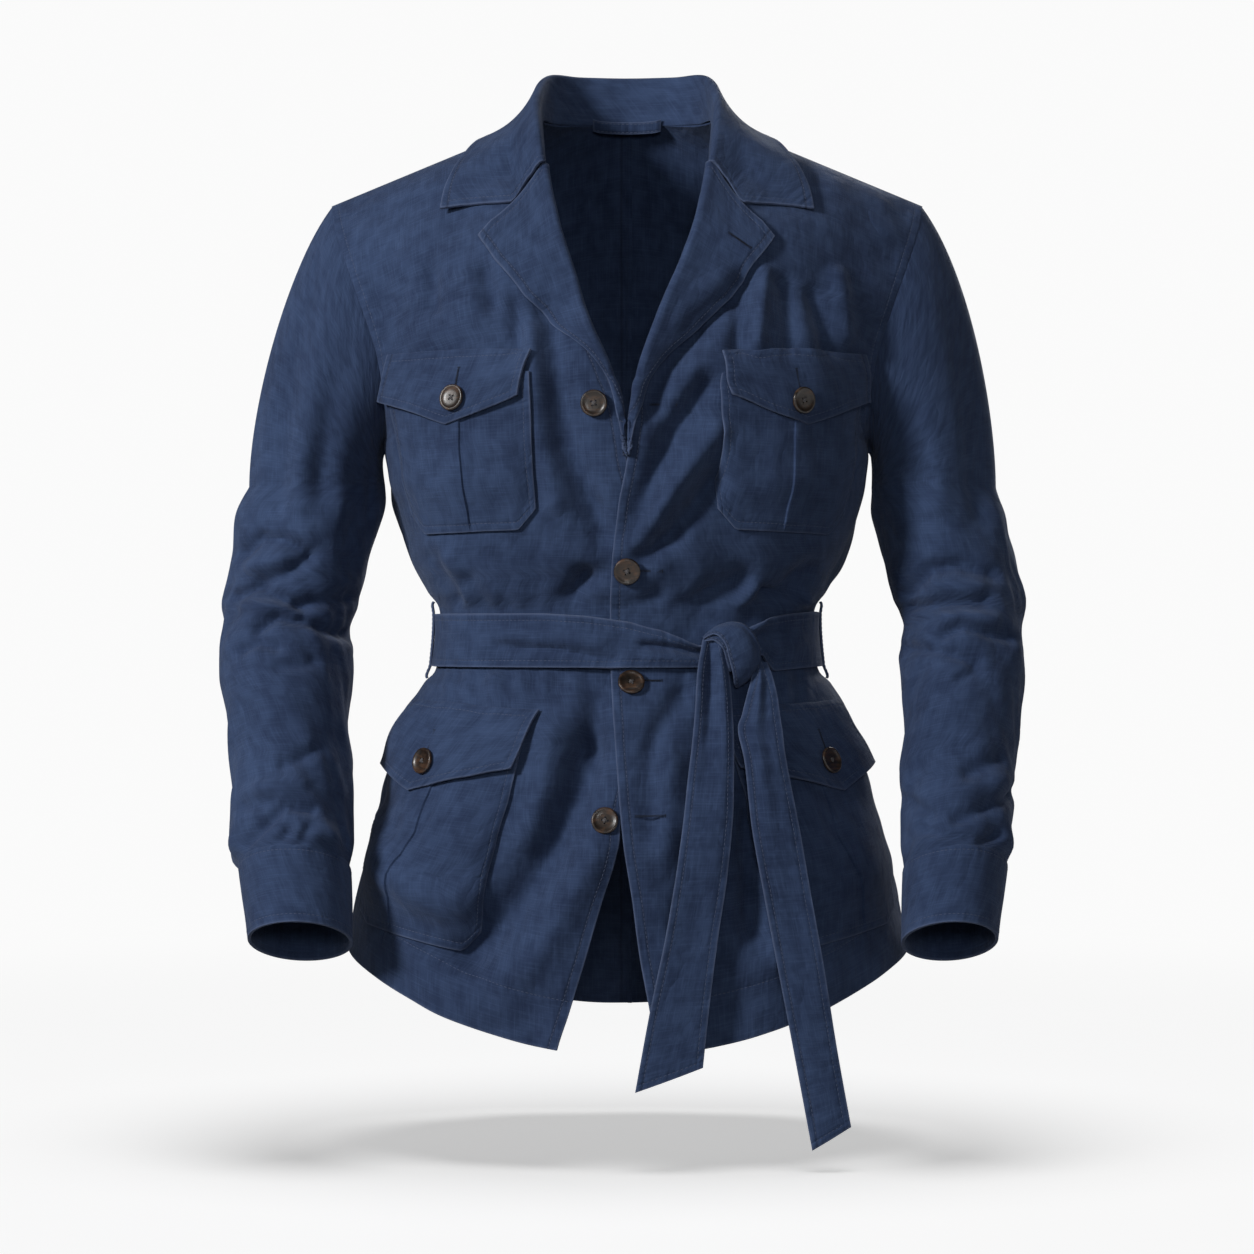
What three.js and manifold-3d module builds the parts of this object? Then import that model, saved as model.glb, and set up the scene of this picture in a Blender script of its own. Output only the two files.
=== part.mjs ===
// Belted safari jacket in linen: the hollow form of the worn garment, with nobody in it.
// Millimetres. -Y is the front and +Z is up. Left and right are the wearer's: left is +X.
// The origin lies midway between the two points where the shoulder seams meet the neck.

import * as THREE from 'three';
import { mergeVertices } from 'three/addons/utils/BufferGeometryUtils.js';
import Module from 'manifold-3d';

// Driving dimensions
const CLOTH = 1.6; // one layer of linen with its seam allowances
const DOUBLED = 2.4; // two layers sewn face to face: collar, lapels, flaps, cuffs, belt
const SEAM_GAP = 0.3; // pieces stop this far apart where they are sewn together
const BOXINESS = 0.045; // how far the body fills out between centre and side, as a share
const DEGREE = Math.PI / 180;

const table = (columns, ...rows) =>
  rows.map((row) => Object.fromEntries(columns.map((column, i) => [column, row[i]])));
const point = (x, y, z) => new THREE.Vector3(x, y, z);
const mix = (a, b, t) => a + (b - a) * t;
const bell = (x) => Math.exp(-x * x);
const steps = (from, to, count) =>
  Array.from({ length: count + 1 }, (_, i) => mix(from, to, i / count));

function smooth(from, to, x) {
  const t = Math.min(Math.max((x - from) / (to - from), 0), 1);
  return t * t * (3 - 2 * t);
}

// A row of a table at a fractional index, by a Catmull-Rom curve through its columns.
function rowAt(rows, index) {
  const at = Math.min(Math.max(index, 0), rows.length - 1);
  const i = Math.min(Math.floor(at), rows.length - 2);
  const f = at - i;
  const near = [-1, 0, 1, 2].map((step) => rows[Math.min(Math.max(i + step, 0), rows.length - 1)]);
  const mixed = {};
  for (const column of Object.keys(rows[0])) {
    const [a, b, c, d] = near.map((row) => row[column]);
    mixed[column] = typeof b !== 'number' ? b
      : b + 0.5 * f * (c - a + f * (2 * a - 5 * b + 4 * c - d + f * (3 * (b - c) + d - a)));
  }
  return mixed;
}

// A column of a table looked up by another column that rises from row to row.
function lookUp(rows, key, column, value) {
  let i = 0;
  while (i < rows.length - 2 && rows[i + 1][key] < value) i += 1;
  const f = (value - rows[i][key]) / (rows[i + 1][key] - rows[i][key]);
  return rowAt(rows, i + Math.min(Math.max(f, 0), 1))[column];
}

// The body, from hem to shoulder. Each row is one line across the front and back panels: its height
// and depth at the centre front and the centre back, and the place of its outer edge, which is the
// side seam up to the armpit and the armhole above it. Turn is the angle that the line sweeps from
// the centre to the edge, and sag is how late it bends from the centre's height to the edge's.
const BODY = table(
  ['level', 'frontZ', 'frontY', 'backZ', 'backY', 'edgeX', 'edgeZ', 'frontEdgeY', 'backEdgeY',
    'turn', 'sag'],
  ['hem', -706, -150, -701, 130, 216, -640, 4, 4, 90, 2],
  ['hem seam', -660, -147, -656, 128, 211, -606, 4, 4, 90, 2],
  ['low pocket', -592, -142, -590, 123, 199, -560, 4, 4, 90, 2],
  ['hip', -525, -134, -524, 115, 186, -507, 4, 4, 90, 2],
  ['high hip', -472, -123, -472, 106, 172, -463, 4, 4, 90, 2],
  ['under belt', -441, -113, -440, 98, 158, -438, 4, 4, 90, 2],
  ['belt low', -425, -106, -425, 92, 147.5, -424, 4, 4, 90, 2],
  ['belt high', -384, -105, -384, 91, 145, -383, 4, 4, 90, 2],
  ['over belt', -367, -112, -367, 97, 155, -366, 3, 3, 90, 2],
  ['blouse', -343, -119, -343, 103, 168, -341, 2, 2, 90, 2],
  ['low chest', -310, -125, -308, 110, 179, -304, 1, 1, 90, 2],
  ['armpit', -270, -129, -266, 116, 186, -258, 0, 0, 90, 2],
  ['low armhole', -238, -130, -236, 118, 185.5, -245, -25, 27, 80, 2],
  ['mid armhole', -203, -129, -198, 118, 185.5, -221, -45, 48, 71, 2],
  ['chest', -153, -120, -140, 114, 190, -188, -54, 58, 63, 1.8],
  ['high chest', -100, -103, -82, 104, 201, -154, -51, 55, 56, 1.6],
  ['yoke', -52, -79, -30, 88, 214, -118, -40, 44, 50, 1.4],
  ['neck', -14, -52, 9, 62, 223.5, -90, -24, 27, 45, 1.2],
  ['high neck', 11, -26, 21, 33, 227.5, -75, -11, 12, 40, 1.1],
  ['shoulder', 27, 0, 27, 0, 229, -68, 0, 0, 35, 1],
);
const level = (name) => BODY.findIndex((row) => row.level === name);
const HEM = level('hem');
const ARMPIT = level('armpit');
const NECK = level('neck');
const SHOULDER = level('shoulder');

// The bare form: face is 'front' or 'back', side is 1 or -1, t is 0 at the centre and 1 at the edge.
function formPoint(face, side, t, v) {
  const row = rowAt(BODY, v);
  const turn = row.turn * DEGREE;
  const fill = 1 + BOXINESS * Math.sin(Math.PI * t) ** 2;
  const reach = (Math.sin(turn * t) / Math.sin(turn)) * fill;
  const depth = ((Math.cos(turn * t) - Math.cos(turn)) / (1 - Math.cos(turn))) * fill;
  // Below the armpit both panels share one straight-run side seam.
  const key = face + 'EdgeY';
  const i = Math.min(Math.max(Math.floor(v), 0), ARMPIT - 1);
  const edgeY = v < ARMPIT ? mix(BODY[i][key], BODY[i + 1][key], v - i) : row[key];
  return point(
    side * row.edgeX * reach,
    mix(edgeY, row[face + 'Y'], depth),
    mix(row[face + 'Z'], row.edgeZ, Math.abs(reach) ** row.sag),
  );
}

// The t at which a line of the form stands a given distance from the centre plane.
function shareAt(v, distance) {
  const row = rowAt(BODY, v);
  const turn = row.turn * DEGREE;
  let t = 0;
  for (let pass = 0; pass < 6; pass += 1) {
    const reach = distance / row.edgeX / (1 + BOXINESS * Math.sin(Math.PI * t) ** 2);
    t = Math.asin(Math.min(Math.max(reach * Math.sin(turn), -1), 1)) / turn;
  }
  return t;
}

function normalOf(surface, u, v, step = 0.01) {
  const across = surface(u + step, v).sub(surface(u - step, v));
  const along = surface(u, v + step).sub(surface(u, v - step));
  return across.cross(along).normalize();
}

// The largest folds, as soft ridges (height above 0) and troughs (below) from one end to the other.
// Front folds are placed as seen from the front, and back folds as seen through from the front.
const FRONT_FOLDS = table(
  ['x1', 'z1', 'x2', 'z2', 'width', 'height'],
  [64, -216, 14, -292, 9, -4],
  [60, -236, 8, -330, 9, 4.5],
  [54, -286, 14, -360, 10, -4],
  [100, -330, 76, -376, 9, 4],
  [122, -322, 96, -372, 9, -3.5],
  [-60, -182, -46, -268, 9, -3.5],
  [-44, -268, -16, -330, 10, -3.5],
  [-38, -350, -20, -374, 10, -4],
  [-14, -470, -30, -512, 13, -5],
  [-30, -512, -66, -592, 16, -6.5],
  [-66, -592, -112, -640, 14, -5],
  [-46, -478, -78, -580, 14, 4],
  [30, -450, 24, -640, 16, 4],
  [92, -560, 104, -660, 16, 4],
);
const BACK_FOLDS = table(
  ['x1', 'z1', 'x2', 'z2', 'width', 'height'],
  [-150, -250, -84, -352, 13, -4],
  [150, -244, 90, -348, 13, -4],
  [-62, -330, -52, -374, 10, -3.5],
  [64, -322, 50, -374, 10, -3.5],
  [-104, -446, -126, -600, 16, -5],
  [110, -446, 124, -610, 16, -5],
  [-52, -446, -60, -560, 14, 4],
  [48, -446, 62, -580, 14, 4],
);
// Gathers that the tied belt draws in: short upright ripples over and under it, by place across.
const GATHERS = table(
  ['x', 'width', 'over', 'under'],
  [-134, 5, 1.5, 2.5],
  [-116, 6, 2.5, 3],
  [-97, 5, 1, 2.5],
  [-78, 6, 2.5, 3],
  [-55, 7, 1.5, 2],
  [-34, 6, 1, 1.5],
  [48, 6, 1, 2],
  [74, 6, 2, 2.5],
  [98, 6, 2.5, 2],
  [118, 5, 1.5, 3],
  [135, 5, 2, 2],
);
const BACK_GATHER = 0.8; // the back is drawn in a little less
const BELT_WIDTH = 40;
const BELT_Z = -404;
const GATHER_REACH = 26; // how far a gather runs out above and below the belt
const GATHER_START = 8; // a gather reaches its full height this far from the belt's edge
const HELD_SHARE = 0.85; // how much of a fold the belt presses flat
const HELD_FROM = 2; // past the belt's edge the cloth is pressed this far
const HELD_TO = 14; // and it is free from here
const OVERLAP_LIFT = 2.9; // the left front lies on the right one
// Where the two fronts lie on each other the folds fade out, so that one can't cut the other.
const LAPPED = { foldsFrom: 28, foldsTo: 14, liftFrom: 60, liftTo: 22 };

function foldLift(folds, x, z) {
  let lift = 0;
  for (const fold of folds) {
    const [dx, dz] = [fold.x2 - fold.x1, fold.z2 - fold.z1];
    const length = Math.hypot(dx, dz);
    const along = ((x - fold.x1) * dx + (z - fold.z1) * dz) / length;
    const off = ((x - fold.x1) * dz - (z - fold.z1) * dx) / length;
    const past = Math.max(-along, along - length, 0);
    lift += fold.height * bell(off / fold.width) * bell(past / (1.5 * fold.width));
  }
  return lift;
}

function gatherLift(x, z) {
  const above = z - (BELT_Z + BELT_WIDTH / 2);
  const below = BELT_Z - BELT_WIDTH / 2 - z;
  const over = smooth(0, GATHER_START, above) * bell(above / GATHER_REACH);
  const under = smooth(0, GATHER_START, below) * bell(below / GATHER_REACH);
  const ripple = (row) => (row.over * over + row.under * under) * bell((x - row.x) / row.width);
  return GATHERS.reduce((sum, row) => sum + ripple(row), 0);
}

// How far the cloth stands off the bare form at a point of it.
function clothLift(face, side, p) {
  const fromBelt = Math.abs(p.z - BELT_Z) - BELT_WIDTH / 2;
  const held = 1 - HELD_SHARE * smooth(HELD_TO, HELD_FROM, fromBelt);
  if (face === 'back') return foldLift(BACK_FOLDS, p.x, p.z) * held + BACK_GATHER * gatherLift(p.x, p.z);
  const doubled = smooth(LAPPED.foldsFrom, LAPPED.foldsTo, Math.abs(p.x))
    * smooth(-255, -280, p.z) * smooth(-565, -535, p.z);
  const folds = foldLift(FRONT_FOLDS, p.x, p.z) * held * (1 - doubled);
  const lapped = side > 0
    ? OVERLAP_LIFT * smooth(LAPPED.liftFrom, LAPPED.liftTo, p.x) * smooth(-205, -250, p.z) : 0;
  return folds + gatherLift(p.x, p.z) + lapped;
}

// The outward normal of a panel's surface. Along the side, shoulder and centre-back seams it is
// squared off, so that the edges of both pieces face each other.
function outwardOf(face, side, surface, t, v) {
  const normal = normalOf(surface, Math.min(t, 0.985), Math.min(v, SHOULDER - 0.02));
  if ((face === 'front') !== side > 0) normal.negate();
  const onSide = v <= ARMPIT ? smooth(0.95, 1, t) : 0;
  normal.y *= 1 - Math.max(onSide, smooth(SHOULDER - 0.4, SHOULDER, v));
  if (face === 'back') normal.x *= smooth(0, 0.03, t);
  return normal.normalize();
}

// A point of the cloth's outer face, and its outward normal there.
function clothPoint(face, side, t, v) {
  const form = (u, w) => formPoint(face, side, u, w);
  const base = form(t, v);
  return base.clone().addScaledVector(outwardOf(face, side, form, t, v), clothLift(face, side, base));
}
const clothNormal = (face, side, t, v) =>
  outwardOf(face, side, (u, w) => clothPoint(face, side, u, w), t, v);

// The place on a panel that is seen from the front at x and z, as its t and v.
function placeAt(face, side, x, z) {
  let [low, high] = [HEM - 0.5, SHOULDER];
  for (let pass = 0; pass < 18; pass += 1) {
    const v = (low + high) / 2;
    if (formPoint(face, side, shareAt(v, side * x), v).z < z) low = v;
    else high = v;
  }
  return [shareAt(low, side * x), low];
}

// The row index at which the side seam is at a height.
function placeOnSide(z) {
  let [low, high] = [HEM, ARMPIT];
  for (let pass = 0; pass < 18; pass += 1) {
    const v = (low + high) / 2;
    if (rowAt(BODY, v).edgeZ < z) low = v;
    else high = v;
  }
  return low;
}

// A point that stands a height off the cloth of a panel, over the place seen at x and z.
function overCloth(face, side, x, z, height) {
  const [t, v] = placeAt(face, side, x, z);
  return clothPoint(face, side, t, v).addScaledVector(clothNormal(face, side, t, v), height);
}

// Solids

// A closed solid from two faces of the same grid: rows of points, which may run around.
function solid(outer, inner, around = false) {
  const [rows, columns] = [outer.length, outer[0].length];
  const points = [...outer.flat(), ...inner.flat()];
  const index = [];
  const at = (layer, i, j) => (layer * rows + i) * columns + (j % columns);
  const quad = (a, b, c, d) => index.push(a, b, c, a, c, d);
  const spans = around ? columns : columns - 1;
  for (let j = 0; j < spans; j += 1) {
    for (let i = 0; i < rows - 1; i += 1) {
      quad(at(0, i, j), at(0, i, j + 1), at(0, i + 1, j + 1), at(0, i + 1, j));
      quad(at(1, i + 1, j), at(1, i + 1, j + 1), at(1, i, j + 1), at(1, i, j));
    }
    quad(at(0, 0, j + 1), at(0, 0, j), at(1, 0, j), at(1, 0, j + 1));
    quad(at(0, rows - 1, j), at(0, rows - 1, j + 1), at(1, rows - 1, j + 1), at(1, rows - 1, j));
  }
  for (let i = 0; i < rows - 1 && !around; i += 1) {
    const m = columns - 1;
    quad(at(0, i, 0), at(0, i + 1, 0), at(1, i + 1, 0), at(1, i, 0));
    quad(at(0, i + 1, m), at(0, i, m), at(1, i, m), at(1, i + 1, m));
  }
  return geometryOf(points, index);
}

function geometryOf(points, index) {
  const geometry = new THREE.BufferGeometry();
  const numbers = points.flatMap((p) => p.toArray());
  geometry.setAttribute('position', new THREE.Float32BufferAttribute(numbers, 3));
  geometry.setIndex(index);
  const merged = mergeVertices(geometry, 1e-3);
  const corners = merged.getAttribute('position');
  const vertex = (i) => point(corners.getX(i), corners.getY(i), corners.getZ(i));
  const kept = [];
  let volume = 0;
  for (let i = 0; i < merged.index.count; i += 3) {
    const [a, b, c] = [0, 1, 2].map((step) => merged.index.getX(i + step));
    if (a === b || b === c || c === a) continue;
    kept.push(a, b, c);
    volume += vertex(a).dot(vertex(b).cross(vertex(c)));
  }
  merged.setIndex(volume > 0 ? kept : kept.reverse());
  merged.computeVertexNormals();
  return merged;
}

// A sheet of a given thickness on both sides of a grid of points.
function sheet(middle, thickness) {
  const [rows, columns] = [middle.length, middle[0].length];
  const near = (i, j) => middle[Math.min(Math.max(i, 0), rows - 1)][Math.min(Math.max(j, 0), columns - 1)];
  const shifted = (distance) => middle.map((row, i) => row.map((p, j) => {
    const across = near(i, j + 1).clone().sub(near(i, j - 1));
    const along = near(i + 1, j).clone().sub(near(i - 1, j));
    return p.clone().addScaledVector(across.cross(along).normalize(), distance);
  }));
  return solid(shifted(thickness / 2), shifted(-thickness / 2));
}

const LINEN = { color: 0x26324a, roughness: 0.9, metalness: 0 };
const HORN = { color: 0x5a3a26, roughness: 0.35, metalness: 0 };
const jacket = new THREE.Group();
jacket.name = 'safari_jacket';
function add(name, geometry, look = LINEN) {
  const mesh = new THREE.Mesh(geometry, new THREE.MeshStandardMaterial(look));
  mesh.name = name;
  jacket.add(mesh);
}
const SIDES = [['left', 1], ['right', -1]];

// Fronts

// The inner edge of each front, from the hem up to the point where the shoulder seam meets the neck:
// its distance from the centre plane toward that front's own side.
const LEFT_FRONT_EDGE = table(
  ['z', 'x'],
  [-712, 23], [-669, 15.5], [-636, 9.5], [-593, 3.6], [-557, -2.2], [-521, -5.9], [-470, -9.6],
  [-433, -11.8], [-389, -12.6], [-344, -11.1], [-301, -5.9], [-275, -0.7], [-250, 2.9], [-227, 6.6],
  [-213, 10.3], [-168, 25.7], [-116, 46.5], [-76, 58.5], [-45, 64], [0, 66],
);
const RIGHT_FRONT_EDGE = table(
  ['z', 'x'],
  [-712, 53], [-674, 41.7], [-638, 30.7], [-601, 19.8], [-557, 6.6], [-536, 4], [-491, -6], [-434, -14.6],
  [-352, -14], [-316, -9.5], [-286, -3.7], [-272, 0], [-257, 2.2], [-230, 7.3], [-213, 14], [-169, 31.5],
  [-133, 43], [-100, 53.5], [-56, 63], [0, 66],
);
const frontEdgeX = (side, z) => lookUp(side > 0 ? LEFT_FRONT_EDGE : RIGHT_FRONT_EDGE, 'z', 'x', z);

// The share at which a line of a front begins, at the front's inner edge.
function frontStart(side, v) {
  let t = 0;
  for (let pass = 0; pass < 8; pass += 1) t = shareAt(v, frontEdgeX(side, formPoint('front', side, t, v).z));
  return t;
}

// A point on the roll line, or anywhere on a front's inner edge, by its height.
function frontEdgePlace(side, z) {
  return placeAt('front', side, side * frontEdgeX(side, z), z);
}

const FRONT_ROWS = [
  0, 0.6, 1.2, 1.8, 2.4, 3, 3.6, 4.3, 5, 5.6, 6, 7, 7.5, 8.2, 8.9, 9.6, 10.3, 11, 11.8, 12.6, 13.3,
  14, 14.6, 15.2, 15.8, 16.4, 17, 17.7, 18.4, 19,
];
const BACK_ROWS = [
  0, 0.7, 1.4, 2.2, 3, 4, 4.6, 5, 6, 7, 7.6, 8.4, 9.4, 10.4, 11.4, 12.4, 13.4, 14.2, 15, 15.8, 16.4,
  17, 17.12, 17.4, 17.8, 18.4, 19,
];
const FRONT_COLUMNS = 14;
const BACK_COLUMNS = 9;
const DENSER = 1.15; // columns stand closer together toward the centre

function panel(face, side, rows, columns, startOf) {
  const gap = (face === 'front' ? -SEAM_GAP : SEAM_GAP) / 2;
  const faces = [0, -CLOTH].map((height) => rows.map((v) => {
    const start = startOf(v);
    return steps(0, 1, columns).map((share) => {
      const t = mix(start, 1, share ** DENSER);
      const p = clothPoint(face, side, t, v).addScaledVector(clothNormal(face, side, t, v), height);
      const atSide = v <= ARMPIT && share === 1;
      p.y += gap * (atSide || v === SHOULDER ? 1 : 0);
      if (face === 'back' && v <= NECK && share === 0) p.x += (side * SEAM_GAP) / 2;
      return p;
    });
  }));
  return solid(faces[0], faces[1]);
}

// The back neckline is a quarter of an ellipse in plan, from the centre back to the shoulder seam.
const NECK_HALF = 66;
const NECK_BACK_Y = 62;
function backStart(v) {
  if (v <= NECK) return 0;
  const y = Math.min(rowAt(BODY, v).backY, NECK_BACK_Y);
  return shareAt(v, NECK_HALF * Math.sqrt(1 - (y / NECK_BACK_Y) ** 2));
}

for (const [name, side] of SIDES) {
  add('front_' + name, panel('front', side, FRONT_ROWS, FRONT_COLUMNS, (v) => frontStart(side, v)));
  add('back_' + name, panel('back', side, BACK_ROWS, BACK_COLUMNS, backStart));
}

// Sleeves

// Rings down a sleeve from the upper arm to the cuff seam: the axis, the ring's half width across and
// half depth, and how far the ring tips so that its front is higher.
const SLEEVE = table(
  ['z', 'x', 'y', 'halfX', 'halfY', 'tip'],
  [-286, 241, 5, 51.5, 58, 0],
  [-306, 245.5, 4.5, 54, 60, 0],
  [-328, 250, 3, 53, 60, 2],
  [-350, 254, 0, 53, 60, 4],
  [-373, 259, -7, 52.5, 59, 7],
  [-392, 262, -15, 48, 57, 11],
  [-412, 261, -23, 50, 57, 16],
  [-435, 260, -32, 49.5, 56, 20],
  [-457, 258, -42, 47.5, 54, 23],
  [-480, 256, -52, 46.5, 52, 25],
  [-502, 254, -61, 45.5, 50, 26],
  [-530, 252, -74, 44.6, 49, 26],
  [-556, 249.5, -86, 43.2, 47, 26],
  [-577, 247, -96, 40, 44, 26],
);
const CUFF = table(
  ['z', 'x', 'y', 'halfX', 'halfY', 'tip'],
  [-577.4, 247, -96.2, 41, 45, 26],
  [-594, 244.8, -102.5, 40.6, 44.3, 26],
  [-610, 242.8, -109, 39.3, 43.3, 26],
  [-626, 241, -116, 38.3, 42.3, 26],
);
const SLEEVE_TRIM = { left: 3, right: 0 }; // the left sleeve hangs narrower by this much on each half
const SLEEVE_COLUMNS = 18;
// The crown, where the sleeve leaves the armhole: its directions and pulls at the top and at the armpit.
const CROWN = {
  topOut: 115, topDown: 150, armpitOut: 22, armpitDown: 6, swell: 26, fallTop: 170, fallArmpit: 12,
};
const CROWN_ROWS = [0, 0.04, 0.12, 0.24, 0.38, 0.53, 0.69, 0.85];

// Creases of a sleeve, placed down the sleeve by z and around it by angle: 0 is the outer side, 90
// the front and 180 the inner side. Slant is how far the crease climbs in 90 degrees toward the front.
const SLEEVE_FOLDS = table(
  ['z', 'angle', 'span', 'width', 'height', 'slant'],
  [-381, 150, 70, 7, -6, 10],
  [-393, 165, 60, 7, 5, 4],
  [-404, 140, 66, 7, -6, -8],
  [-418, 120, 60, 8, 4, -14],
  [-432, 110, 60, 8, -4.5, -20],
  [-396, 20, 46, 9, -4, 0],
  [-412, 10, 50, 9, 3, 0],
  [-350, 120, 46, 10, 3, 14],
  [-528, 60, 60, 9, -3, 16],
  [-548, 150, 60, 8, 3, -12],
  [-560, 0, 60, 7, -3.5, 4],
  [-330, 60, 50, 13, -3, 30],
);

function ringPoint(row, side, angle, lift = 0) {
  const [c, s] = [Math.cos(angle * DEGREE), Math.sin(angle * DEGREE)];
  const tip = row.tip * DEGREE;
  const trim = side > 0 ? SLEEVE_TRIM.left : SLEEVE_TRIM.right;
  const y = -(row.halfY + lift) * s;
  const x = row.x - trim + (row.halfX - trim + lift) * c;
  return point(side * x, row.y + y * Math.cos(tip), row.z - y * Math.sin(tip));
}

function sleeveLift(z, angle) {
  let lift = 0;
  for (const fold of SLEEVE_FOLDS) {
    const turn = ((angle - fold.angle + 540) % 360) - 180;
    const off = z - fold.z - (fold.slant * turn) / 90;
    lift += fold.height * bell(off / fold.width) * bell(turn / fold.span);
  }
  return lift;
}

// The armhole as seen from the sleeve: angle 0 is the shoulder, 90 the front and 180 the armpit.
function armholePoint(side, angle) {
  const turned = ((angle % 360) + 360) % 360;
  const face = turned <= 180 ? 'front' : 'back';
  const down = (turned <= 180 ? turned : 360 - turned) / 180;
  const v = mix(SHOULDER, ARMPIT, down ** 1.08);
  return clothPoint(face, side, 1, v).add(point(side * 2 * SEAM_GAP, 0, 0));
}

function sleevePoint(side, angle, f) {
  if (f >= 0) return ringPoint(rowAt(SLEEVE, f), side, angle, sleeveLift(rowAt(SLEEVE, f).z, angle));
  const h = f + 1;
  const high = (1 + Math.cos(angle * DEGREE)) / 2;
  const from = armholePoint(side, angle);
  const to = ringPoint(SLEEVE[0], side, angle, sleeveLift(SLEEVE[0].z, angle));
  const leave = point(
    side * mix(CROWN.armpitOut, CROWN.topOut, high),
    -CROWN.swell * Math.sin(angle * DEGREE),
    -mix(CROWN.armpitDown, CROWN.topDown, high),
  );
  const arrive = point(0, 0, -mix(CROWN.fallArmpit, CROWN.fallTop, high));
  const h2 = h * h;
  const h3 = h2 * h;
  return point(0, 0, 0)
    .addScaledVector(from, 2 * h3 - 3 * h2 + 1)
    .addScaledVector(leave, h3 - 2 * h2 + h)
    .addScaledVector(to, 3 * h2 - 2 * h3)
    .addScaledVector(arrive, h3 - h2);
}

// The inner face of a tube whose outer face is given as rings.
function insideOf(rings, thickness, square = false) {
  const columns = rings[0].length;
  return rings.map((ring, i) => ring.map((p, j) => {
    const across = ring[(j + 1) % columns].clone().sub(ring[(j + columns - 1) % columns]);
    const next = rings[Math.min(i + 1, rings.length - 1)][j];
    const along = next.clone().sub(rings[Math.max(i - 1, 0)][j]);
    const normal = across.cross(along);
    const centre = ring.reduce((sum, q) => sum.add(q), point(0, 0, 0)).divideScalar(columns);
    if (square && i === 0) normal.x = 0;
    if (normal.dot(centre.sub(p)) < 0) normal.negate();
    return p.clone().addScaledVector(normal.normalize(), thickness);
  }));
}

const around = (columns) => steps(0, 360, columns).slice(0, -1);
for (const [name, side] of SIDES) {
  const stations = [...CROWN_ROWS.map((h) => h - 1), ...steps(0, SLEEVE.length - 1, 15)];
  const rings = stations.map((f) => around(SLEEVE_COLUMNS).map((angle) => sleevePoint(side, angle, f)));
  add('sleeve_' + name, solid(rings, insideOf(rings, CLOTH, true), true));
  const bands = steps(0, CUFF.length - 1, 3).map((f) =>
    around(SLEEVE_COLUMNS).map((angle) => ringPoint(rowAt(CUFF, f), side, angle)));
  add('cuff_' + name, solid(bands, insideOf(bands, DOUBLED), true));
}

// Collar and lapels

// A section of a piece that turns over: from a seam point up to the fold, round it, and down to the
// edge. Returns points of the middle of the cloth, with a slack that bellies the fall outward.
const FOLD_RADIUS = 3;
const FOLD_STEPS = 4;
function turnedSection(seam, fold, edge, outward, standSteps, fallShares, slack) {
  const up = fold.clone().sub(seam).normalize();
  const standTop = fold.clone().addScaledVector(up, -FOLD_RADIUS);
  const out = outward.clone().addScaledVector(up, -outward.dot(up)).normalize();
  const centre = standTop.clone().addScaledVector(out, FOLD_RADIUS);
  const reach = edge.clone().sub(centre);
  const toEdge = (Math.atan2(reach.dot(out), reach.dot(up)) + 2 * Math.PI) % (2 * Math.PI);
  const end = toEdge + Math.asin(FOLD_RADIUS / reach.length());
  const stand = steps(0, 1, standSteps).slice(0, -1).map((share) => seam.clone().lerp(standTop, share));
  const turn = steps(0, end, FOLD_STEPS).map((angle) => centre.clone()
    .addScaledVector(out, -FOLD_RADIUS * Math.cos(angle))
    .addScaledVector(up, FOLD_RADIUS * Math.sin(angle)));
  const last = turn[FOLD_STEPS];
  const belly = up.clone().multiplyScalar(reach.dot(out)).addScaledVector(out, -reach.dot(up)).normalize();
  const fall = fallShares.map((share) => last.clone().lerp(edge, share)
    .addScaledVector(belly, slack * Math.sin(Math.PI * share)));
  return [...stand, ...turn, ...fall];
}

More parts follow.
